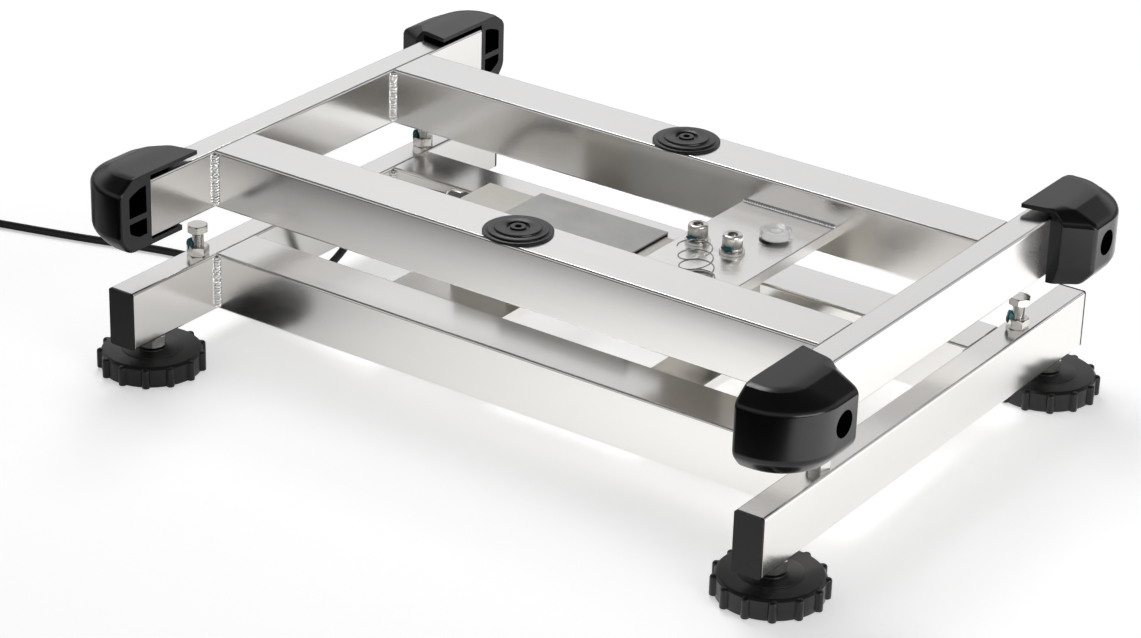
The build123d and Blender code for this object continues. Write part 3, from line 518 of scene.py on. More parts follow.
def bead_grid(corner, out_a, out_b, run, seed, leg=WELD_LEG, ripple=RIPPLE):
    """Fill a corner with a rippled bead. The surface is corner + leg * s(t) * (a cos u + b sin u) +
    run * t, where u walks from one wall to the other and s swells with every ripple."""
    corner, out_a, out_b, run = (np.asarray(v, float) for v in (corner, out_a, out_b, run))
    length = np.linalg.norm(run)
    along = np.linspace(0, 1, max(12, int(length / (RIPPLE_PITCH / 7))))[:, None]
    fan = np.linspace(0, np.pi / 2, 11)[None, :]
    chance = np.random.default_rng(seed)
    drift = np.cumsum(chance.normal(0, 0.2 * ripple, (len(along), 1)), axis=0)
    drift = drift - drift.mean()
    drift = drift / (1 + np.abs(drift).max() * 8)
    phase = 2 * np.pi * along * length / RIPPLE_PITCH * (1 + 0.6 * drift) + RIPPLE_BEND * np.sin(2 * fan)
    ends = np.sqrt(np.clip(np.minimum(along, 1 - along) * 2 * length / leg, 0, 1))
    swell = (0.98 - ripple + ripple * np.abs(np.sin(phase / 2)) + 0.4 * drift) * (0.5 + 0.5 * ends)
    flat = 1.0 / (np.cos(fan) ** BULGE + np.sin(fan) ** BULGE) ** (1 / BULGE)
    reach = (leg * np.clip(swell, 0, 1) * flat)[..., None]
    ray = np.cos(fan)[..., None] * out_a + np.sin(fan)[..., None] * out_b
    surface = corner + reach * ray + along[..., None] * run
    spine = corner - 0.2 * MM * (out_a + out_b) + along[..., None] * run
    return np.concatenate([spine, surface, spine], axis=1)


def frame_beads(node, rail, plates, body):
    """Make one frame's beads: upright where its rails meet, and along both ends of each plate."""
    low, high = box_of(rail)
    start = low[2] + WELD_START
    rise = (0, 0, high[2] - low[2] - 2 * WELD_START)
    grids = []
    for x_side in (-1, 1):
        for y_side in (-1, 1):
            for face_y, edge in zip(rail_faces_y, (-1, 1)):
                corner = (x_side * RAIL_END_X, y_side * face_y, start)
                grids.append((bead_grid(corner, (-x_side, 0, 0), (0, y_side * edge, 0), rise, len(grids)),
                              False, False))
    for plate in plates:
        low, high = box_of(plate)
        for y_side in (-1, 1):
            corner = (low[0], y_side * high[1], high[2])
            length = (high[0] - low[0], 0, 0)
            grids.append((bead_grid(corner, (0, -y_side, 0), (0, 0, 1), length, len(grids), PLATE_LEG,
                                    PLATE_RIPPLE), False, False))
    return make(node + "_beads", grids, weld_metal, body, node, slot="weld_bead", sharp=50)


frame_beads("base_frame_welds", "base_rail_front", ("base_plate", "overload_stop_bar"), "base")
frame_beads("load_frame_welds", "load_rail_front", ("load_plate",), "platform")

# %% [markdown]
# ## Flat steel, the load cell and the cover
#
# These pieces have the right shape in CAD already. Real ones have broken edges, though, and an edge
# that is perfectly sharp never catches the light. Welding the CAD mesh's loose triangles and
# bevelling what is left gives each edge its thin highlight and leaves the mesh data as it was.


# %% Eased edges on CAD pieces
def keep(node, material, ease, segments=2):
    """Show a CAD node with its own material and softly broken edges."""
    piece = nodes[node]
    piece.data.materials.clear()
    piece.data.materials.append(material)
    weld = piece.modifiers.new("weld", "WELD")
    weld.merge_threshold = 1e-6
    ease_edges(piece, ease, segments, 40)


for node in ("load_plate", "base_plate", "overload_stop_bar"):
    keep(node, plate_steel, 0.5 * MM)
for node in ("load_spacer", "base_spacer"):
    keep(node, cell_aluminium, 0.5 * MM)
keep("cell_cover", cover_paint, 0.3 * MM)
keep("cell_cover_seals", seal_foam, 0.3 * MM)
keep("rail_end_caps", cap_plastic, 0.8 * MM, 3)
keep("coil_tie", tie_web, 0.2 * MM)
keep("connector_insert", cap_plastic, 0.2 * MM)

# %% [markdown]
# ## The load cell
#
# The cell is one block of aluminium with a window in its middle. Under load the two thin bridges
# over and under the window bend, and the free end sinks by half a millimetre with the platform. A
# copy of the CAD mesh is cut by a row of planes across the part that would bend.

# %% Load cell
BEND_START, BEND_END, CROSS_CUTS = -40 * MM, 40 * MM, 9
cell = add("load_cell_block", nodes["load_cell"].data.copy())
tidy_mesh(cell, cell_aluminium, 30)
work = bmesh.new()
work.from_mesh(cell.data)
for x in np.linspace(BEND_START, BEND_END, CROSS_CUTS):
    everything = work.verts[:] + work.edges[:] + work.faces[:]
    bmesh.ops.bisect_plane(work, geom=everything, dist=1e-6, plane_co=(x, 0, 0), plane_no=(1, 0, 0))
work.to_mesh(cell.data)
work.free()
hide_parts("load_cell")
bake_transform(cell)
print("cell faces", len(cell.data.polygons))

# %% [markdown]
# ## Screws and nuts
#
# A hexagon nut is a prism cut by a cone at both ends. On a grid that walks round the axis, the
# outline's radius is the distance to the nearest flat divided by the cosine of the angle to it, and
# the cone lowers a point in proportion to how far it lies outside the round face. Threads are a
# triangle wave whose phase is the height in pitches minus the angle in turns.


# %% Hexagons and threads
HEX_FACE = 0.96
HEX_CONE = 0.55
HEX_EASE = 0.12 * MM
HOLE_EASE = 0.4 * MM
THREAD_DEPTH = 0.54
THREAD_FADE = 0.8


def hexagon(angle, flats):
    """Distance from the axis to a hexagon's outline: half the flats over the cosine of the angle
    to the nearest flat's middle."""
    off = (angle + np.pi / 6) % (np.pi / 3) - np.pi / 6
    return flats / 2 / np.cos(off)


def hex_grid(centre, flats, bottom, top, hole, axis=2, turn=0.0):
    """A nut, or a screw's head where the hole is zero, with both ends coned."""
    angle = np.linspace(0, 2 * np.pi, 96, endpoint=False)
    edge = hexagon(angle + turn, flats)
    face = flats / 2 * HEX_FACE
    dip = HEX_CONE * (edge - face)
    hole_ease = HOLE_EASE if hole > 0 else 0.0
    rows = [(hole, bottom), (face, bottom), (edge - HEX_EASE, bottom + dip), (edge, bottom + dip + HEX_EASE),
            (edge, top - dip - HEX_EASE), (edge - HEX_EASE, top - dip), (face, top),
            (hole + hole_ease, top), (hole, top - hole_ease)]
    radius, height = (np.array([row[part] + 0 * angle for row in rows]) for part in (0, 1))
    return about(radius, height, angle, centre, axis), hole > 0, True


def thread_grid(centre, diameter, pitch, bottom, top):
    """A threaded rod: radius = outer - depth * triangle(height / pitch - angle / full turn), which
    fades to a plain cone at both ends."""
    count = max(4, int((top - bottom) / (pitch / 8)))
    height = np.linspace(bottom, top, count)[:, None]
    angle = np.linspace(0, 2 * np.pi, 48, endpoint=False)[None, :]
    wave = np.abs(2 * ((height / pitch - angle / (2 * np.pi)) % 1) - 1)
    end = np.clip(np.minimum(height - bottom, top - height) / (THREAD_FADE * pitch), 0, 1)
    points = about((diameter / 2 - THREAD_DEPTH * pitch * wave) * (0.8 + 0.2 * end), height, angle)
    points = np.concatenate([points[:1] * [0, 0, 1], points, points[-1:] * [0, 0, 1]])
    return points + np.asarray(centre, float), False, True


# %% Stop screws, foot studs and their nuts
M8, M8_PITCH, M8_FLATS, M8_NUT_HOLE = 8 * MM, 1.25 * MM, 13 * MM, 3.9 * MM
M10, M10_PITCH, M10_FLATS, M10_NUT_HOLE = 10 * MM, 1.5 * MM, 17 * MM, 5.05 * MM
NUT_HEIGHT = 6.5 * MM
STOP_Y = 121 * MM
FOOT_Y = 168.3 * MM
SHORT_X = 240 * MM
FOOT_NUT = 8 * MM
corners = [(x_side, y_side) for x_side in (-1, 1) for y_side in (-1, 1)]
base_bottom = box_of("base_rail_left")[0][2]
stop_low, stop_high = box_of("stop_screws")
HEAD_HEIGHT = 5.3 * MM
HEAD_TURN, NEXT_TURN, NUT_TURN = 0.35, 0.8, 0.5
FOOT_NUT_TURN = math.radians(16)

threads, heads, nuts, foot_nuts = [], [], [], []
for index, (x_side, y_side) in enumerate(corners):
    place = (x_side * SHORT_X, y_side * STOP_Y, 0)
    turn = HEAD_TURN + NEXT_TURN * index
    threads.append(thread_grid(place, M8, M8_PITCH, stop_low[2], stop_high[2] - HEAD_HEIGHT + 0.3 * MM))
    heads.append(hex_grid(place, M8_FLATS, stop_high[2] - HEAD_HEIGHT, stop_high[2], 0.0, turn=turn))
    nuts.append(hex_grid(place, M8_FLATS, base_top, base_top + NUT_HEIGHT, M8_NUT_HOLE,
                         turn=turn + NUT_TURN))
    foot = (x_side * SHORT_X, y_side * FOOT_Y, 0)
    foot_nuts.append(hex_grid(foot, M10_FLATS, base_bottom - FOOT_NUT, base_bottom, M10_NUT_HOLE,
                              turn=FOOT_NUT_TURN))
steel("stop_screws_turned", threads + heads, "base", "stop_screws")
steel("stop_nuts_turned", nuts, "base", "stop_screw_nuts")
steel("foot_nuts_turned", foot_nuts, "base", "foot_weld_nuts")

# %% [markdown]
# ## Sealing lacquer
#
# After the screws are set, a drop of blue-green lacquer on nut and thread shows whether anybody has
# turned them since. A drop is an ellipsoid whose radius is wrinkled by two slow waves, with its
# centre on the metal's skin, so most of it sinks into the screw and only a skin stands proud.


# %% Drops of lacquer
def lacquer_drop(axis_x, axis_y, z, out, heading, sizes, seed):
    """One drop: centre + r(u, v) * (radial, sideways, upright), with r = 1 + waves."""
    u = np.linspace(0, np.pi, 15)[:, None]
    v = np.linspace(0, 2 * np.pi, 28, endpoint=False)[None, :]
    slow = np.sin(3 * v + 2 * u + seed) * np.sin(u)
    quick = np.sin(5 * v - 3 * u + 2 * seed) * np.sin(u)
    wave = 1 + 0.13 * slow + 0.09 * quick
    cosine, sine = math.cos(heading), math.sin(heading)
    axes = np.array([[cosine, sine, 0], [-sine, cosine, 0], [0, 0, 1.0]])
    ball = np.stack([np.sin(u) * np.cos(v), np.sin(u) * np.sin(v), np.cos(u) + 0 * v], axis=-1)
    centre = np.array([axis_x, axis_y, z]) + axes[0] * out
    return centre + ball * sizes * wave[..., None] @ axes, False, True


NUT_DROP = np.array([2.5, 3.4, 4.8]) * MM
NUT_DROP_RISE, NUT_DROP_OUT, NUT_DROP_HEADING = 6.2 * MM, 5.0 * MM, math.radians(-148)
nut_drops = [lacquer_drop(x_side * SHORT_X, y_side * STOP_Y, base_top + NUT_DROP_RISE, NUT_DROP_OUT,
                          NUT_DROP_HEADING, NUT_DROP, index)
             for index, (x_side, y_side) in enumerate(corners)]
make("nut_lacquer", nut_drops, lacquer, "base", sharp=60)

# %% [markdown]
# ## Levelling feet
#
# Thirteen half-round ribs stand round the knob's disc. Seen from above, a rib is a circle of radius
# q whose centre lies at distance c from the axis, so at the angle a from the rib's middle the rim
# lies at c cos a + sqrt(q^2 - c^2 sin^2 a). Where that root is not real, the rim is the disc. The
# rib's top is domed: there q shrinks with the height along a quarter circle.

# %% Knobs, studs and soles
KNOB_RADIUS = 36 * MM
KNOB_HEIGHT = 15 * MM
KNOB_EDGE = 1.6 * MM
RIBS = 13
RIB_RADIUS = 2.7 * MM
RIB_CENTRE = KNOB_RADIUS - RIB_RADIUS
RIB_TOP = 14.4 * MM
RIB_DOME = 1.8 * MM
DISC_RADIUS = 33.2 * MM
SOLE_RECESS = [(26.0, 3.0), (26.0, 1.6), (26.6, 1.0)]
RIM_RISE = [(0.5, 1.0), (0.15, 1.15), (0.0, 1.5), (0.0, 7.0)]
KNOB_TOP = [(32.2, 14.4), (31.75, 14.8), (31.5, 14.95), (31.1, 15.0), (20.4, 15.0), (20.0, 15.05),
            (19.75, 15.25), (19.65, 15.5), (19.35, 15.6), (10.4, 15.6), (10.1, 15.7), (10.0, 16.2),
            (9.8, 16.4), (9.5, 16.5), (5.3, 16.5), (5.02, 16.2), (5.02, 4.0), (5.02, 3.0)]
STUD_LOW, STUD_HIGH = 4.05 * MM, 42 * MM


def knob_grid(x, y):
    """A knob as rows of rings, from the recess for the sole, out over the ribbed rim and in to the
    stud's hole."""
    angle = np.linspace(0, 2 * np.pi, RIBS * 54, endpoint=False)
    step = 2 * np.pi / RIBS
    away = (angle + step / 2) % step - step / 2

    def rim(rib_radius, disc_radius):
        root = rib_radius ** 2 - (RIB_CENTRE * np.sin(away)) ** 2
        rib = np.where(root > 0, RIB_CENTRE * np.cos(away) + np.sqrt(np.clip(root, 0, None)), 0)
        return np.maximum(rib, disc_radius)

    profile = [(radius * MM, height * MM) for radius, height in SOLE_RECESS]
    profile += [(rim(RIB_RADIUS - inset * MM, DISC_RADIUS - inset * MM), height * MM)
                for inset, height in RIM_RISE]
    for turn in np.linspace(0, np.pi / 2, 8):
        height = RIB_TOP - RIB_DOME * (1 - np.sin(turn))
        disc = DISC_RADIUS - max(0.0, height - KNOB_HEIGHT + KNOB_EDGE)
        profile.append((rim(RIB_RADIUS - RIB_DOME * (1 - np.cos(turn)), disc), height))
    profile += [(radius * MM, height * MM) for radius, height in KNOB_TOP]
    radius, height = (np.array([row[part] + 0 * angle for row in profile]) for part in (0, 1))
    points = about(radius, height, angle, (x, y, 0))
    return points, True, True


feet = {"left_front": (-1, -1), "right_front": (1, -1), "left_back": (-1, 1), "right_back": (1, 1)}
SOLE = [(0.0, 0.0), (25.2, 0.0), (25.8, 0.5), (25.94, 1.0), (25.94, 3.0), (0.0, 3.0)]
for corner, (x_side, y_side) in feet.items():
    x, y = x_side * SHORT_X, y_side * FOOT_Y
    knob = "knob_" + corner
    stud = thread_grid((x, y, 0), M10, M10_PITCH, STUD_LOW, STUD_HIGH)
    make(knob, [knob_grid(x, y)], knob_plastic, knob, "foot_" + knob, slot="knob_black", sharp=40)
    steel("stud_" + corner, [stud], knob, "foot_stud_" + corner)
    make("sole_disc_" + corner, [turned(SOLE, (x, y, 0), 96)], sole_rubber, "sole_" + corner,
         "foot_sole_" + corner, slot="sole_rubber", sharp=40)

# %% [markdown]
# ## Pads, cell screws and washers
#
# All of these are turned on a lathe or in a mould, so each is one profile of radius and height
# carried round an upright axis. The socket screws get a knurl, a fine ripple of the radius, and a
# six-sided socket.

# %% Rubber pads
PAD = [(2.1, -7.0), (4.6, -7.0), (5.0, -6.6), (5.0, -0.1), (5.2, 0.0), (22.3, 0.0), (22.5, 0.2), (22.5, 1.1),
       (22.0, 1.6), (19.9, 1.6), (19.5, 1.8), (19.5, 2.5), (19.1, 2.8), (15.5, 2.8), (15.1, 3.0), (15.0, 3.3),
       (14.9, 3.75), (14.5, 4.0), (7.8, 4.0), (7.4, 3.8), (7.3, 2.8), (7.1, 2.6), (5.2, 2.6), (5.05, 2.8),
       (5.0, 3.8), (4.8, 4.0), (2.5, 4.0), (2.1, 3.6)]
for pad in ("pad_front", "pad_back"):
    grid = turned(PAD, (0, middle_of(pad)[1], load_top), 96, ring=True)
    make(pad + "_turned", [grid], pad_rubber, "platform", pad, slot="pad_rubber", sharp=32)

# %% Socket screws and washers
plate_top = box_of("load_plate")[1][2]
BOLT_XS = (72 * MM, 98 * MM)
BASE_BOLT_XS = (-72 * MM, -98 * MM)
WASHER_EASE, BAR_EASE = 0.25, 0.2
WASHER, SPRING_WASHER = (8.25, 4.4, 2.0), (7.0, 4.4, 2.4)
HEAD_UP = (WASHER[2] + SPRING_WASHER[2]) * MM
SLIT_HALF, SLIT_SLANT = 0.07, 0.18
SPRING_TURN, SPRING_NEXT = 1.2, 2.0
KNURLS = 60
KNURL_DEPTH = 0.22 * MM


def socket_head(x, bottom):
    """A socket screw's head: knurled wall, round top edge and a hexagon socket with a coned floor.
    The wall's radius is R - k * |sin(n * angle / 2)|, with n ridges."""
    angle = np.linspace(0, 2 * np.pi, 240, endpoint=False)
    knurl = 6.5 * MM - KNURL_DEPTH * np.abs(np.sin(KNURLS / 2 * angle))
    socket = hexagon(angle, 6 * MM)
    rows = [(0, 0), (5.9 * MM, 0), (knurl - 0.25 * MM, 0.15), (knurl, 0.5), (knurl, 6.6), (6.3 * MM, 6.9),
            (6.28 * MM, 7.3), (6.05 * MM, 7.75), (5.6 * MM, 8.0), (3.75 * MM, 8.0),
            (socket - 0.02 * MM, 7.55), (socket, 3.7), (2.4 * MM, 3.5), (0, 2.9)]
    radius = np.array([row[0] + 0 * angle for row in rows])
    height = np.array([[row[1]] for row in rows]) * MM
    return about(radius, height, angle, (x, 0, bottom)), False, True


def ring_grid(x, bottom, outer, hole, thickness):
    """A flat washer with eased edges."""
    e = WASHER_EASE
    profile = [(hole, e), (hole + e, 0), (outer - e, 0), (outer, e), (outer, thickness - e),
               (outer - e, thickness), (hole + e, thickness), (hole, thickness - e)]
    return turned(profile, (x, 0, bottom), ring=True)


def split_ring(x, bottom, outer, hole, thickness, gap_heading):
    """A spring washer: a square bar bent into a ring, cut by a slanted slit. The slit's angle moves
    with the height, and the end faces close to their middles."""
    bar = rounded([(hole, 0), (outer, 0), (outer, thickness), (hole, thickness)], BAR_EASE, steps=2)
    radius, height = bar.T[:, None]
    turn = np.linspace(SLIT_HALF, 2 * np.pi - SLIT_HALF, 90)[:, None]
    slant = (height / thickness - 0.5) * SLIT_SLANT
    points = about(radius * MM, height * MM, gap_heading + turn + slant, (x, 0, bottom))
    return capped(points).swapaxes(0, 1), True, False


# %% The load cell's screws, washers and lacquer
load_screw_low = box_of("load_screws")[0][2]
screws, flats, springs, drops = [], [], [], []
HEAD_DROP = np.array([2.0, 4.2, 2.0]) * MM
HEAD_DROP_RISE, HEAD_DROP_OUT, HEAD_DROP_HEADING = 4.1 * MM, 5.8 * MM, math.radians(-88)
for index, x in enumerate(BOLT_XS):
    screws.append(socket_head(x, plate_top + HEAD_UP))
    screws.append(thread_grid((x, 0, 0), M8, M8_PITCH, load_screw_low, plate_top + HEAD_UP + 0.1 * MM))
    flats.append(ring_grid(x, plate_top, *WASHER))
    springs.append(split_ring(x, plate_top + WASHER[2] * MM, *SPRING_WASHER,
                              SPRING_TURN + SPRING_NEXT * index))
    drops.append(lacquer_drop(x, 0, plate_top + HEAD_DROP_RISE, HEAD_DROP_OUT, HEAD_DROP_HEADING,
                              HEAD_DROP, 3 + index))
steel("load_screws_turned", screws, "platform", "load_screws")
steel("load_washers_turned", flats, "platform", "load_flat_washers")
steel("load_springs_turned", springs, "platform", "load_spring_washers")
make("head_lacquer", drops, lacquer, "platform", sharp=60)

# %% Base screws, put in from below
low, high = box_of("base_screws")
base_plate_low = box_of("base_plate")[0][2]
screws, flats = [], []
for x in BASE_BOLT_XS:
    head_top = low[2] + HEAD_HEIGHT
    screws.append(hex_grid((x, 0, 0), M8_FLATS, low[2], head_top, 0.0, turn=x))
    screws.append(thread_grid((x, 0, 0), M8, M8_PITCH, head_top - 0.2 * MM, high[2]))
    flats.append(ring_grid(x, base_plate_low - WASHER[2] * MM, *WASHER))
steel("base_screws_turned", screws, "base", "base_screws")
steel("base_washers_turned", flats, "base", "base_flat_washers")

# %% Overload stop
low, high = box_of("overload_stop_screw")
stop_x = middle_of("overload_stop_screw")[0]
bar_top = box_of("overload_stop_bar")[1][2]
screw = thread_grid((stop_x, 0, 0), M8, M8_PITCH, low[2], high[2])
nut = hex_grid((stop_x, 0, 0), M8_FLATS, bar_top, bar_top + NUT_HEIGHT, M8_NUT_HOLE, turn=0.3)
steel("overload_screw_turned", [screw], "base", "overload_stop_screw")
steel("overload_nut_turned", [nut], "base", "overload_stop_nut")

# %% [markdown]
# ## Corner bumpers
#
# The bumper is the hardest shape here: one moulding with a crowned top, a large rounded corner, a
# slanted end and an open back with ribs. Its outside is a stack of outlines. The shoulder follows a
# smoothed polyline of shares: how far an outline is drawn in against how far it has risen. Cutting a
# polyline's corners again and again, a quarter from each side, gives that smooth curve. The cells
# behind the wall are the same stack drawn in by the wall's thickness, with the rib left standing,
# and exact Booleans take them out.

# %% Bumper outlines
load_bottom = box_of("load_rail_front")[0][2]
BUMPER_X = 277.7 * MM
BUMPER_Y = 205 * MM
BUMPER_CORNER = 40 * MM
BUMPER_SLANT_Y = 145 * MM
BUMPER_END_Y = 131 * MM
END_SLOPE = 4 * MM
END_ROUND = 4 * MM
RIM_ROUND = 3.5 * MM
RAIL_SIDE_X = 250 * MM
END_STEP, CROWN_STEP = 8 * MM, 1.5 * MM
CROWN_INSET, SIDE_INSET, BASE_INSET = 17.7 * MM, 11 * MM, 9 * MM
CROWN_CORNER = 20 * MM
crown_z = load_top + 6 * MM
wall_top = load_top - 5 * MM
wall_bottom = load_bottom + 8 * MM
bumper_bottom = load_bottom - 4.5 * MM
SHOULDER = [(0.0, 0.0), (0.04, 0.16), (0.17, 0.38), (0.88, 0.87), (0.95, 0.92), (1.0, 0.94), (1.35, 0.99),
            (1.6, 1.0)]
FOOT_CURVE = [(0.0, 0.0), (0.04, 0.16), (0.17, 0.38), (0.78, 0.90), (1.0, 1.0)]


def cut_corners(points, times):
    """Cut each inner corner of a polyline at a quarter of both its sides, again and again."""
    points = np.asarray(points, float)
    for _ in range(times):
        early = 0.75 * points[:-1] + 0.25 * points[1:]
        late = 0.25 * points[:-1] + 0.75 * points[1:]
        inner = np.stack([early, late], axis=1).reshape(-1, points.shape[1])
        points = np.concatenate([points[:1], inner[1:-1], points[-1:]])
    return points


def bumper_ring(height, inset_x, inset_y, corner):
    """One closed outline: straight at the rail, a large outer corner and a slant at the end."""
    x, y = BUMPER_X - inset_x, BUMPER_Y - inset_y
    step_out = END_STEP + (CROWN_STEP - END_STEP) * inset_x / CROWN_INSET
    flat = rounded([(RAIL_END_X, -y), (x, -y), (x, -BUMPER_SLANT_Y),
                    (RAIL_SIDE_X + step_out, -BUMPER_END_Y - END_SLOPE), (RAIL_END_X, -BUMPER_END_Y)],
                   [RIM_ROUND, corner, END_ROUND, END_ROUND, 0], steps=12)
    return np.column_stack([flat, np.full(len(flat), height)])


def bumper_mass(shrink, roof, floor, name):
    """The rounded block, drawn in by shrink at its sides and by roof and floor at top and bottom."""
    start = BUMPER_CORNER - shrink
    low, high = wall_bottom + shrink / 2, wall_top - shrink / 2
    base, crown = bumper_bottom + floor, crown_z - roof
    rings = []
    for inset, rise in cut_corners(FOOT_CURVE, 3)[::-1]:
        rings.append(bumper_ring(low + (base - low) * rise, BASE_INSET * inset + shrink,
                                 BASE_INSET * inset + shrink, start - BASE_INSET * inset))
    for inset, rise in cut_corners(SHOULDER, 3):
        end = CROWN_CORNER - shrink / 2
        rings.append(bumper_ring(high + (crown - high) * rise, CROWN_INSET * inset + shrink,
                                 SIDE_INSET * inset + shrink, start + (end - start) * inset))
    return grid_piece(name, [(capped(np.array(rings)), False, True)], bumper_plastic, 30)


def block(name, low, high):
    """A box between two corners, as a grid of rings closed by its two ends."""
    loop = [(low[0], low[1]), (high[0], low[1]), (high[0], high[1]), (low[0], high[1])]
    rings = np.array([[(x, y, z) for x, y in loop] for z in (low[2], high[2])])
    return grid_piece(name, [(capped(rings), False, True)], bumper_plastic)


def cut(piece, tools):
    """Take tools out of a piece with exact Booleans, one after another, and remove the tools."""
    for tool in tools:
        change = piece.modifiers.new("cut", "BOOLEAN")
        change.operation = "DIFFERENCE"
        change.solver = "EXACT"
        change.object = tool
        seen = piece.evaluated_get(bpy.context.evaluated_depsgraph_get())
        mesh = bpy.data.meshes.new_from_object(seen)
        piece.modifiers.clear()
        piece.data = mesh
        bpy.data.objects.remove(tool)


# %% One bumper, cut out
RAIL_END_Y = 176 * MM
BUMPER_WALL = 5 * MM
BUMPER_ROOF = 8 * MM
BUMPER_FLOOR = 9 * MM
END_WALL = 4.3 * MM
RIB = 4 * MM
LIP = 2.8 * MM
FOOT_LIP = 3.5 * MM
FOOT_LIP_Y = 147 * MM
HOLE_Y = 160.4 * MM
HOLE = [(0, 0), (8.5, 0), (8.5, 40), (0, 40)]
THROUGH_HOLE = [(0, 0), (3.4, 0), (3.4, 40), (0, 40)]
SCREW_FLOOR = 5 * MM
MOULD_EASE = 0.6 * MM
rib_z = load_bottom + 17.5 * MM
hole_z = load_bottom + 22 * MM
INSIDE_X = RAIL_END_X - 10 * MM
NEAR, FAR = 0.1, 0.4

hollow = bumper_mass(BUMPER_WALL, BUMPER_ROOF, BUMPER_FLOOR, "bumper_hollow")
cut(hollow, [block("keep_clear", (NEAR, -(RAIL_END_Y + END_WALL), 0), (FAR, 0, FAR)),
             block("rib", (NEAR, -FAR, rib_z - RIB / 2), (FAR, 0, rib_z + RIB / 2))])
pocket = block("pocket", (INSIDE_X, -RAIL_END_Y, bumper_bottom + FOOT_LIP),
               (RAIL_SIDE_X, 0, crown_z - LIP))
cut_back = block("cut_back", (INSIDE_X, -FOOT_LIP_Y, 0), (RAIL_SIDE_X, 0, bumper_bottom + 2 * FOOT_LIP))
bore = turned(HOLE, (RAIL_SIDE_X + SCREW_FLOOR, -HOLE_Y, hole_z), 72, axis=0)
through = turned(THROUGH_HOLE, (RAIL_SIDE_X - 5 * MM, -HOLE_Y, hole_z), 48, axis=0)
master = bumper_mass(0.0, 0.0, 0.0, "bumper_master")
cut(master, [hollow, pocket, cut_back, grid_piece("bore", [bore], bumper_plastic),
             grid_piece("through", [through], bumper_plastic)])
print("bumper faces", len(master.data.polygons))


# %% Four bumpers by mirroring the coordinates
def rough_rim(piece, x_side):
    """Give the cut faces of the open back, which look towards the frame, a rougher plastic."""
    faces = piece.data.polygons
    inward = values_of(faces, "normal")[:, 0] * x_side < -0.9
    at_rim = np.abs(values_of(faces, "center")[:, 0]) < RAIL_END_X + 1 * MM
    piece.data.materials.append(rim_plastic)
    faces.foreach_set("material_index", (inward & at_rim).astype(np.int32))


for corner, (x_side, y_side) in feet.items():
    mesh = master.data.copy()
    points = values_of(mesh.vertices, "co") * [x_side, -y_side, 1]
    mesh.vertices.foreach_set("co", points.ravel())
    mesh.update()
    piece = add("bumper_shell_" + corner, mesh)
    tidy_mesh(piece, bumper_plastic, 28)
    rough_rim(piece, x_side)
    ease_edges(piece, MOULD_EASE, 3, 38)
    dress(piece, "platform", "bumper_" + corner, slot="moulded_black")
bpy.data.objects.remove(master)

# %% Fixing screws at the bottom of the sunk holes
PAN_HEAD = [(0.0, 3.0), (1.6, 3.0), (3.4, 2.9), (4.6, 2.4), (5.4, 1.7), (5.9, 0.8), (6.0, 0.2), (5.9, 0.0),
            (0.0, 0.0)]
SHANK = [(0.0, -14.0), (2.8, -14.0), (3.0, -13.6), (3.0, 0.2), (0.0, 0.2)]
grids = []
for x_side, y_side in corners:
    seat = (x_side * (RAIL_SIDE_X + SCREW_FLOOR), y_side * HOLE_Y, hole_z)
    for profile, around in ((PAN_HEAD, 48), (SHANK, 32)):
        grids.append(turned(np.array(profile) * [1, x_side], seat, around, axis=0))
steel("bumper_screws_turned", grids, "platform", "bumper_screws")

# %% [markdown]
# ## The bubble level
#
# The level is a clear acrylic vial glued to the plate, with a low rim round its top, a clear liquid
# and a bubble. Glass materials need their real thickness, so the housing is a closed wall round the
# liquid, which in turn is hollowed for the bubble. The faces under the liquid get the look of a pale
# card, so that the level shines from above.

# %% Level
level_place = np.array([*middle_of("level_housing")[:2], box_of("level_housing")[0][2]])
HOUSING = [(0, 0), (10.45, 0), (10.75, 0.3), (10.75, 6.8), (10.45, 7.1), (9.6, 7.1), (9.4, 6.95), (9.35, 6.7),
           (0, 6.7), (0, 4.7), (8.5, 4.7), (8.75, 4.45), (8.75, 2.25), (8.5, 2.0), (0, 2.0)]


def clear(name, colour, roughness, ior, alpha):
    """Clear or tinted material that lets light through."""
    glass = Finish(name)
    haze = glass.noise((400.0, 400.0, 400.0), detail=2.0)
    return glass.surface(Base_Color=glass.blend(haze, colour, [min(1.0, 1.02 * c) for c in colour]),
                         Roughness=roughness * (0.6 + 0.8 * haze), Transmission_Weight=1.0, IOR=ior,
                         Alpha=alpha)


acrylic = clear("acrylic", (0.98, 0.985, 0.98), 0.05, 1.47, 0.4)
liquid = clear("level_liquid", (0.93, 0.94, 0.92), 0.02, 1.36, 0.3)
level_card = moulded("level_card", (0.72, 0.72, 0.715), 0.5, 700.0, 0.00001)
air = clear("level_air", (0.98, 0.98, 0.98), 0.02, 1.05, 0.4)
vial = grid_piece("level_vial", [turned(HOUSING, level_place, 96)], acrylic, 30)
faces = vial.data.polygons
from_centre = values_of(faces, "center") - level_place
CARD_Z, CARD_RADIUS, CARD_NEAR = 2.1 * MM, 8.7 * MM, 0.3 * MM
on_floor = np.abs(from_centre[:, 2] - CARD_Z) < CARD_NEAR
on_floor = on_floor & (np.hypot(*from_centre.T[:2]) < CARD_RADIUS)
vial.data.materials.append(level_card)
faces.foreach_set("material_index", on_floor.astype(np.int32))
dress(vial, "platform", "level_housing", slot="level_clear")
RING_MARK = [(4.1, 6.69), (4.1, 6.74), (4.45, 6.74), (4.45, 6.69)]
FILL = [(0, 2.02), (8.55, 2.02), (8.7, 2.2), (8.7, 4.5), (8.55, 4.68), (2.0, 4.68), (1.9, 3.9), (1.2, 3.55),
        (0, 3.48)]
BUBBLE = [(0, 3.5), (1.2, 3.57), (1.85, 3.92), (1.97, 4.66), (0, 4.66)]
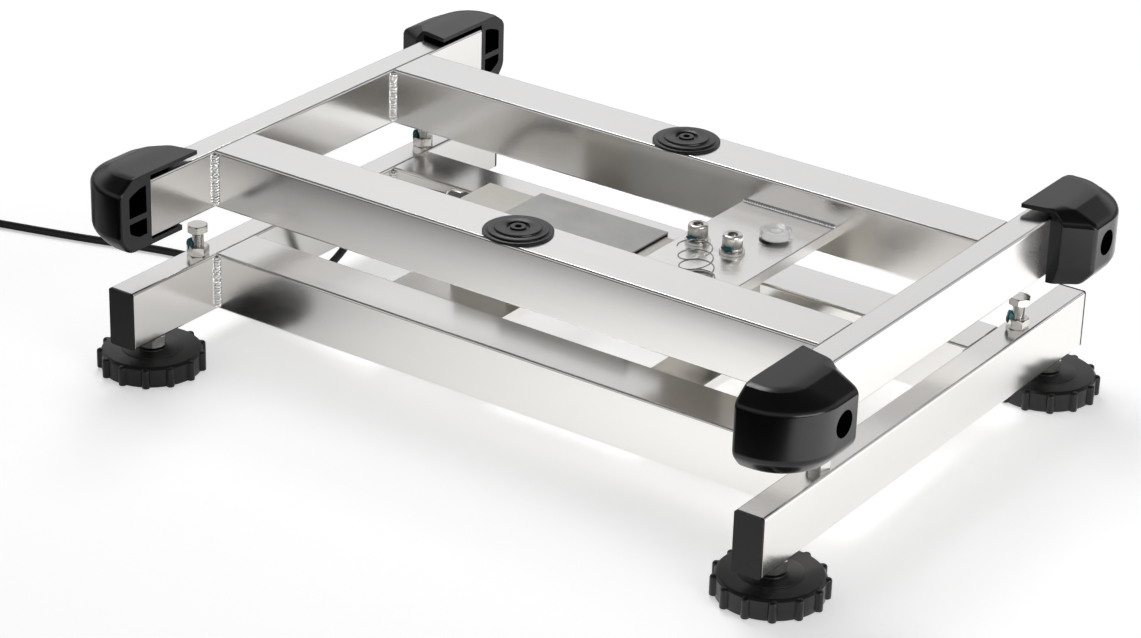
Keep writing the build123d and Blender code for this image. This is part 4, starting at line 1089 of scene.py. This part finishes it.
make("level_ring_mark", [turned(RING_MARK, level_place, ring=True)], cap_plastic, "platform")
make("level_fill", [turned(FILL, level_place)], liquid, "platform", "level_liquid", slot="level_fluid")
make("level_air_bubble", [turned(BUBBLE, level_place, 48)], air, "platform", "level_bubble", slot="level_air")

# %% [markdown]
# ## The earthing spring
#
# A thin wire follows a helix that leans a little. The first turn is closed flat on the plate, and the
# rise only starts after it. The tube round the wire's line uses the direction away from the axis and
# the one along it, which never twist.

# %% Spring
WIRE = 0.45 * MM
SPRING_RADIUS = 10.75 * MM
SPRING_PITCH = 6.7 * MM
SPRING_PLACE = (103 * MM, -47 * MM)
SPRING_LEAN = math.radians(6.5)
SPRING_HEADING = math.radians(215)
WIRE_END = math.radians(215)


def helix_line(base, radius, lean, heading, rise, steps=64):
    """Base + axis * rise * s + radius * (e1 cos p + e2 sin p), where s stays at 0 during the first
    turn, and e1 and e2 tilt from level to square with the axis."""
    turns = 1 + rise / SPRING_PITCH
    phase = np.linspace(0, turns, int(turns * steps))[:, None]
    share = np.clip((phase - 1) / (turns - 1), 0, 1)
    axis = np.array([np.sin(lean) * np.cos(heading), np.sin(lean) * np.sin(heading), np.cos(lean)])
    tilt = np.clip(phase, 0, 1)
    flat_x, flat_y = np.array([1.0, 0, 0]), np.array([0, 1.0, 0])
    lean_x = flat_x - axis * (axis @ flat_x)
    lean_x = lean_x / np.linalg.norm(lean_x)
    lean_y = np.cross(axis, lean_x)
    one = flat_x * (1 - tilt) + lean_x * tilt
    two = flat_y * (1 - tilt) + lean_y * tilt
    angle = WIRE_END + 2 * np.pi * (phase - turns)
    outward = one * np.cos(angle) + two * np.sin(angle)
    return np.asarray(base) + axis * rise * share + radius * outward, outward


def wire_grid(line, outward, radius, around=10):
    """A round wire along a line: line + radius * (out cos q + side sin q), closed at both ends."""
    tangent = np.gradient(line, axis=0)
    tangent = tangent / np.linalg.norm(tangent, axis=1, keepdims=True)
    side = np.cross(tangent, outward)
    side = side / np.linalg.norm(side, axis=1, keepdims=True)
    out = np.cross(side, tangent)
    turn = np.linspace(0, 2 * np.pi, around, endpoint=False)[None, :, None]
    points = line[:, None] + radius * (out[:, None] * np.cos(turn) + side[:, None] * np.sin(turn))
    return capped(points), False, True


spring_high = box_of("earthing_spring")[1]
spring_base = (*SPRING_PLACE, plate_top + WIRE)
leaned = SPRING_RADIUS * math.sin(SPRING_LEAN)
spring_rise = (spring_high[2] - WIRE - spring_base[2] + leaned) / math.cos(SPRING_LEAN)
line, outward = helix_line(spring_base, SPRING_RADIUS, SPRING_LEAN, SPRING_HEADING, spring_rise)
spring = grid_piece("spring_coil", [wire_grid(line, outward, WIRE)], spring_wire, 60)
dress(spring, "platform", "earthing_spring", slot="spring_steel")
print("spring top", round(line[:, 2].max() + WIRE, 4), "CAD top", round(spring_high[2], 4))

# %% [markdown]
# ## The cable gland and the plug
#
# A gland is a hexagon body screwed into the load cell and a domed nut that squeezes a seal round the
# cable. Both are turned about the X axis. The plug at the far end is turned about Y.

# %% Gland
gland_z = middle_of("gland_body")[2]
gland_start, gland_end = (corner[0] for corner in box_of("gland_body"))
nut_start = box_of("gland_nut")[0][0]
gland_length = (gland_end - gland_start) / MM
hexagon_body = hex_grid((0, 0, gland_z), 14 * MM, gland_start, gland_start + 8 * MM, 2.8 * MM, axis=0)
NECK = [(2.8, 7.9), (4.9, 7.9), (4.9, gland_length), (2.8, gland_length)]
neck = turned(NECK, (gland_start, 0, gland_z), 48, axis=0, ring=True)
make("gland_hexagon", [hexagon_body, neck], gland_nickel, "base", "gland_body", slot="gland_nickel")
DOME = [(2.9, 0.0), (4.2, 0.0), (5.6, 0.3), (6.6, 1.1), (7.2, 2.2), (7.5, 3.4), (7.5, 6.6), (7.3, 6.8),
        (7.3, 7.2), (7.5, 7.4), (7.5, 11.7), (7.2, 12.0), (2.9, 12.0)]
dome = turned(DOME, (nut_start, 0, gland_z), 72, axis=0, ring=True)
make("gland_dome", [dome], gland_nickel, "base", "gland_nut", slot="gland_nickel")

# %% Plug
plug_x, _, plug_z = middle_of("connector_shell")
plug_end = (plug_x, box_of("connector_shell")[1][1], plug_z)
PLUG = [(0, 0), (3.5, 0), (3.9, -0.3), (4.5, -11.4), (4.6, -12.0), (7.0, -12.0), (7.6, -12.5), (8.0, -13.6),
        (8.0, -20.0), (7.6, -20.3), (7.6, -21.0), (8.0, -21.3), (8.0, -39.0), (7.6, -39.7), (7.0, -40.0),
        (6.6, -40.0), (6.6, -33.0), (0, -33.0)]
plug = make("plug_shell", [turned(PLUG, plug_end, 96, axis=1)], gland_nickel, "base", "connector_shell",
            slot="plug_metal")

# %% [markdown]
# ## The cable
#
# The cable is one NURBS curve of order three, so its control points pull it into long smooth bends
# the way a stiff jacket bends. It drops from the gland, passes under the left rail and lies on the
# floor. The spare length is wound in a flat coil outside the picture: the turn's radius steps inwards
# once a turn on the lower layer, the cable climbs to the upper layer, and it steps outwards again. The
# curve cuts inside its control points, so those of the coil stand out by a hundredth.

# %% Cable route and coil
THICK = 5.5
CABLE = THICK * MM
FLOOR_Z = 2.85
ROUTE = [(-125.0, 0.0, 95.5), (-146.0, 0.0, 95.5), (-168.0, -1.5, 88.0), (-186.0, -4.5, 71.0),
         (-199.0, -8.5, 51.0), (-211.0, -13.5, 30.0), (-227.0, -17.0, 14.0), (-249.0, -19.0, 5.5),
         (-277.0, -20.0, FLOOR_Z), (-309.0, -21.5, FLOOR_Z), (-344.5, -27.6, FLOOR_Z),
         (-376.0, -37.0, FLOOR_Z), (-408.0, -48.5, FLOOR_Z), (-443.0, -59.0, FLOOR_Z),
         (-484.0, -71.0, FLOOR_Z + 0.2)]
COIL_START = (-524.0, -83.5)
COIL_Z = 3.75
OUTER_TURN = 38.5
heading = math.atan2(COIL_START[1] - ROUTE[-1][1], COIL_START[0] - ROUTE[-1][0])
coil_x = COIL_START[0] - OUTER_TURN * math.sin(heading)
coil_y = COIL_START[1] + OUTER_TURN * math.cos(heading)
PER_TURN = 16
FULL_TURNS = 5
STEPS_IN, CLIMB, STEPS_OUT = ((0.82, 0.98), (1.85, 2.0)), (2.6, 2.8), ((3.85, 4.0), (4.85, 5.0))
POINTS_OUT = 0.012


def step(value, start, end):
    """Go smoothly from 0 to 1 between start and end."""
    t = np.clip((value - start) / (end - start), 0, 1)
    return t * t * (3 - 2 * t)


begin = heading - math.pi / 2
total_turns = FULL_TURNS + ((math.pi - begin) / (2 * math.pi)) % 1
turns = np.linspace(0, total_turns, int(total_turns * PER_TURN) + 1)
radius = OUTER_TURN - THICK * sum(step(turns, *part) for part in STEPS_IN)
radius = radius + THICK * sum(step(turns, *part) for part in STEPS_OUT)
height = COIL_Z + THICK * step(turns, *CLIMB)
control = radius * (1 + POINTS_OUT * (turns > 0.05) * (turns < total_turns - 0.05))
angle = begin + 2 * np.pi * turns
coil_points = np.column_stack([coil_x + control * np.cos(angle), coil_y + control * np.sin(angle), height])
TAIL = [(coil_x - OUTER_TURN, coil_y - 15.0, 9.25), (coil_x - OUTER_TURN - 0.8, coil_y - 29.0, 8.1),
        (coil_x - OUTER_TURN - 0.8, coil_y - 43.0, 8.1)]
points = np.concatenate([np.array(ROUTE), coil_points, np.array(TAIL)]) * MM

curve = bpy.data.curves.new("cable_run", "CURVE")
curve.dimensions = "3D"
curve.bevel_depth = CABLE / 2
curve.bevel_resolution = 6
curve.use_fill_caps = True
spline = curve.splines.new("NURBS")
spline.points.add(len(points) - 1)
spline.points.foreach_set("co", np.column_stack([points, np.ones(len(points))]).ravel())
spline.order_u = 3
spline.use_endpoint_u = True
spline.resolution_u = 6
curve.materials.append(cable_jacket)
cable = add("cable_run", curve)
dress(cable, "base", "cable", "cable_coil", "cable_tail", slot="cable_jacket")
print("turns in the coil", round(total_turns, 2), "points", len(points))

# %% [markdown]
# ## Studio
#
# Bright steel shows its surroundings more than its own colour, so the surroundings are what is lit.
# The floor adds a little light of its own for the camera and for mirrors, as a light table does, so
# that it looks white and still keeps the object's shadow. For mirrors only, reflections are painted
# on the floor: painted shade turns it grey to the left and far behind, a painted black patch lies in
# front, and a painted bright glow lies on the right. These painted reflections give the tubes their
# dark front walls and their long gradients. The sky that mirrors see is a bright ring above the
# horizon and falls off overhead: flat tops mirror the ring, and the shoulders of the black mouldings
# mirror the darker dome.

# %% Floor
FLOOR_GLOW, MIRROR_GLOW = 0.50, 0.72
# Mirror rays see the floor dim to the left and far behind: painted shade in the reflections.
FLOOR_DIM_X, FLOOR_BRIGHT_X = -0.55, 0.15
FLOOR_DIM_Y, FLOOR_BRIGHT_Y = 0.95, 0.55
# Mirror rays see a painted black reflection on the floor in front of the scale.
PAINTED_BLACK_Y, PAINTED_BLACK_END_Y = -0.375, -0.335
# Mirror rays see the floor glow three times as bright on the right: a painted bright reflection.
PAINTED_GLOW_START_X, PAINTED_GLOW_FULL_X, PAINTED_GLOW_EXTRA = 0.39, 0.44, 2.0
DIM_GLOW, FULL_GLOW = (0.1, 0.1, 0.1), (1.0, 1.0, 1.0)
PAPER_LOW, PAPER_HIGH = (0.80, 0.80, 0.80), (0.82, 0.82, 0.82)
# Paper colours that only mirror rays see: a painted grey and a painted black reflection.
PAINTED_GREY_REFLECTION, PAINTED_BLACK_REFLECTION = (0.44, 0.43, 0.42), (0.03, 0.03, 0.03)
floor_finish = Finish("floor")
glossy_ray = floor_finish.ray("Glossy")
spot = floor_finish.place()
across, away = (floor_finish.node("ShaderNodeSeparateXYZ", inputs={"Vector": spot}, output=axis)
                for axis in ("X", "Y"))
# Where mirror rays see the floor bright; elsewhere their reflections get painted shade.
front_side = floor_finish.ramp(FLOOR_DIM_Y - away, 0.0, FLOOR_DIM_Y - FLOOR_BRIGHT_Y)
bright_part = floor_finish.ramp(across, FLOOR_DIM_X, FLOOR_BRIGHT_X) * front_side
# Mask that keeps mirror rays clear of the painted black patch in front.
clear_of_painted_black = floor_finish.ramp(away, PAINTED_BLACK_Y, PAINTED_BLACK_END_Y)
# Mask of the painted glow on the right, seen only in reflections.
painted_glow_patch = floor_finish.ramp(across, PAINTED_GLOW_START_X, PAINTED_GLOW_FULL_X)
# For mirror rays the glow colour is painted dim to the left and far behind.
glow_colour = floor_finish.blend(bright_part * glossy_ray + (1.0 - glossy_ray), DIM_GLOW, FULL_GLOW)
seen_glow = FLOOR_GLOW * (floor_finish.ray("Camera") + floor_finish.ray("Transmission"))
# Mirror rays get more glow, none at the painted black patch and three times as much at the painted glow.
mirrored_glow = MIRROR_GLOW * glossy_ray * clear_of_painted_black * (1.0 + PAINTED_GLOW_EXTRA * painted_glow_patch)
glow = floor_finish.node("ShaderNodeEmission",
                         inputs={"Color": glow_colour, "Strength": seen_glow + mirrored_glow})
grain = floor_finish.noise((3.0, 3.0, 3.0), detail=2.0)
white_paper = floor_finish.blend(grain, PAPER_LOW, PAPER_HIGH)
# For mirror rays the paper is painted grey to the left and far behind, a painted reflection.
paper_with_painted_grey = floor_finish.blend(glossy_ray * (1.0 - bright_part), white_paper, PAINTED_GREY_REFLECTION)
# For mirror rays the paper is painted black in front: a painted dark reflection.
paper_with_painted_reflections = floor_finish.blend(glossy_ray * (1.0 - clear_of_painted_black), paper_with_painted_grey, PAINTED_BLACK_REFLECTION)
paper = floor_finish.node("ShaderNodeBsdfDiffuse", inputs={"Color": paper_with_painted_reflections})
both = floor_finish.node("ShaderNodeAddShader", inputs={0: glow, 1: paper})
floor_finish.node("ShaderNodeOutputMaterial", inputs={"Surface": both})
FLOOR_HALF = 12.0
u, v = np.meshgrid(np.linspace(-FLOOR_HALF, FLOOR_HALF, 9), np.linspace(FLOOR_HALF, -FLOOR_HALF, 9),
                   indexing="ij")
floor_grid = np.stack([u, v, np.full_like(u, -0.0002)], axis=-1)
floor = grid_piece("floor", [(floor_grid, False, False)], floor_finish.material)

# %% Sky and lamps
SKY_RING = [(0.0, 0.16), (0.14, 0.45), (0.30, 0.98), (0.46, 0.92), (0.58, 0.20), (1.0, 0.10)]
DIM_SKY = 0.14
world = bpy.data.worlds.new("studio")
world.use_nodes = True
bpy.context.scene.world = world
sky = Tree(world.node_tree)
direction = sky.node("ShaderNodeTexCoord", output="Generated")
upward = sky.node("ShaderNodeSeparateXYZ", inputs={"Vector": direction}, output="Z")
stops = [(height, (0.975 * level, 0.98 * level, level, 1.0)) for height, level in SKY_RING]
ring = sky.node("ShaderNodeValToRGB", {"stops": stops}, {"Fac": upward})
white = (1.0, 1.0, 1.0, 1.0)
dim, glowing, plain = (sky.node("ShaderNodeBackground", inputs={"Color": colour, "Strength": strength})
                       for colour, strength in ((white, DIM_SKY), (ring, 1.0), (white, 1.0)))
mirrored = sky.node("ShaderNodeMixShader", inputs={0: sky.ray("Glossy"), 1: dim, 2: glowing})
camera_ray = sky.ray("Camera")
seen_white = camera_ray.math("MAXIMUM", camera_ray, sky.ray("Transmission"))
seen = sky.node("ShaderNodeMixShader", inputs={0: seen_white, 1: mirrored, 2: plain})
sky.node("ShaderNodeOutputWorld", inputs={"Surface": seen})


def soft_lamp(name, place, target, width, height, power, mirrored=True):
    """A soft lamp that looks from its place at a target. One that isn't mirrored lights the object
    and casts its shadow, and polished faces don't show it."""
    data = bpy.data.lights.new(name, "AREA")
    data.shape = "RECTANGLE"
    data.size = width
    data.size_y = height
    data.energy = power
    lamp = add(name, data)
    place, target = np.array(place, float), np.array(target, float)
    back = (place - target) / np.linalg.norm(place - target)
    right = np.cross([0, 0, 1.0], back)
    right = right / np.linalg.norm(right)
    stand(lamp, place, right, np.cross(back, right), back)
    lamp.visible_glossy = mirrored


soft_lamp("key", (-0.9, 0.5, 2.4), (0, 0, 0.08), 1.2, 1.2, 25.0, mirrored=False)
soft_lamp("fill", (1.9, -0.6, 1.6), (0, 0, 0.08), 0.8, 0.8, 5.0, mirrored=False)
soft_lamp("edge", (2.16, -0.57, 0.42), (0.26, -0.17, 0.13), 1.7, 0.35, 14.0)
soft_lamp("highlight", (-1.10, 1.25, 1.75), (0.1, 0, 0.13), 0.6, 0.45, 6.0)
bpy.context.scene.view_settings.view_transform = "Standard"
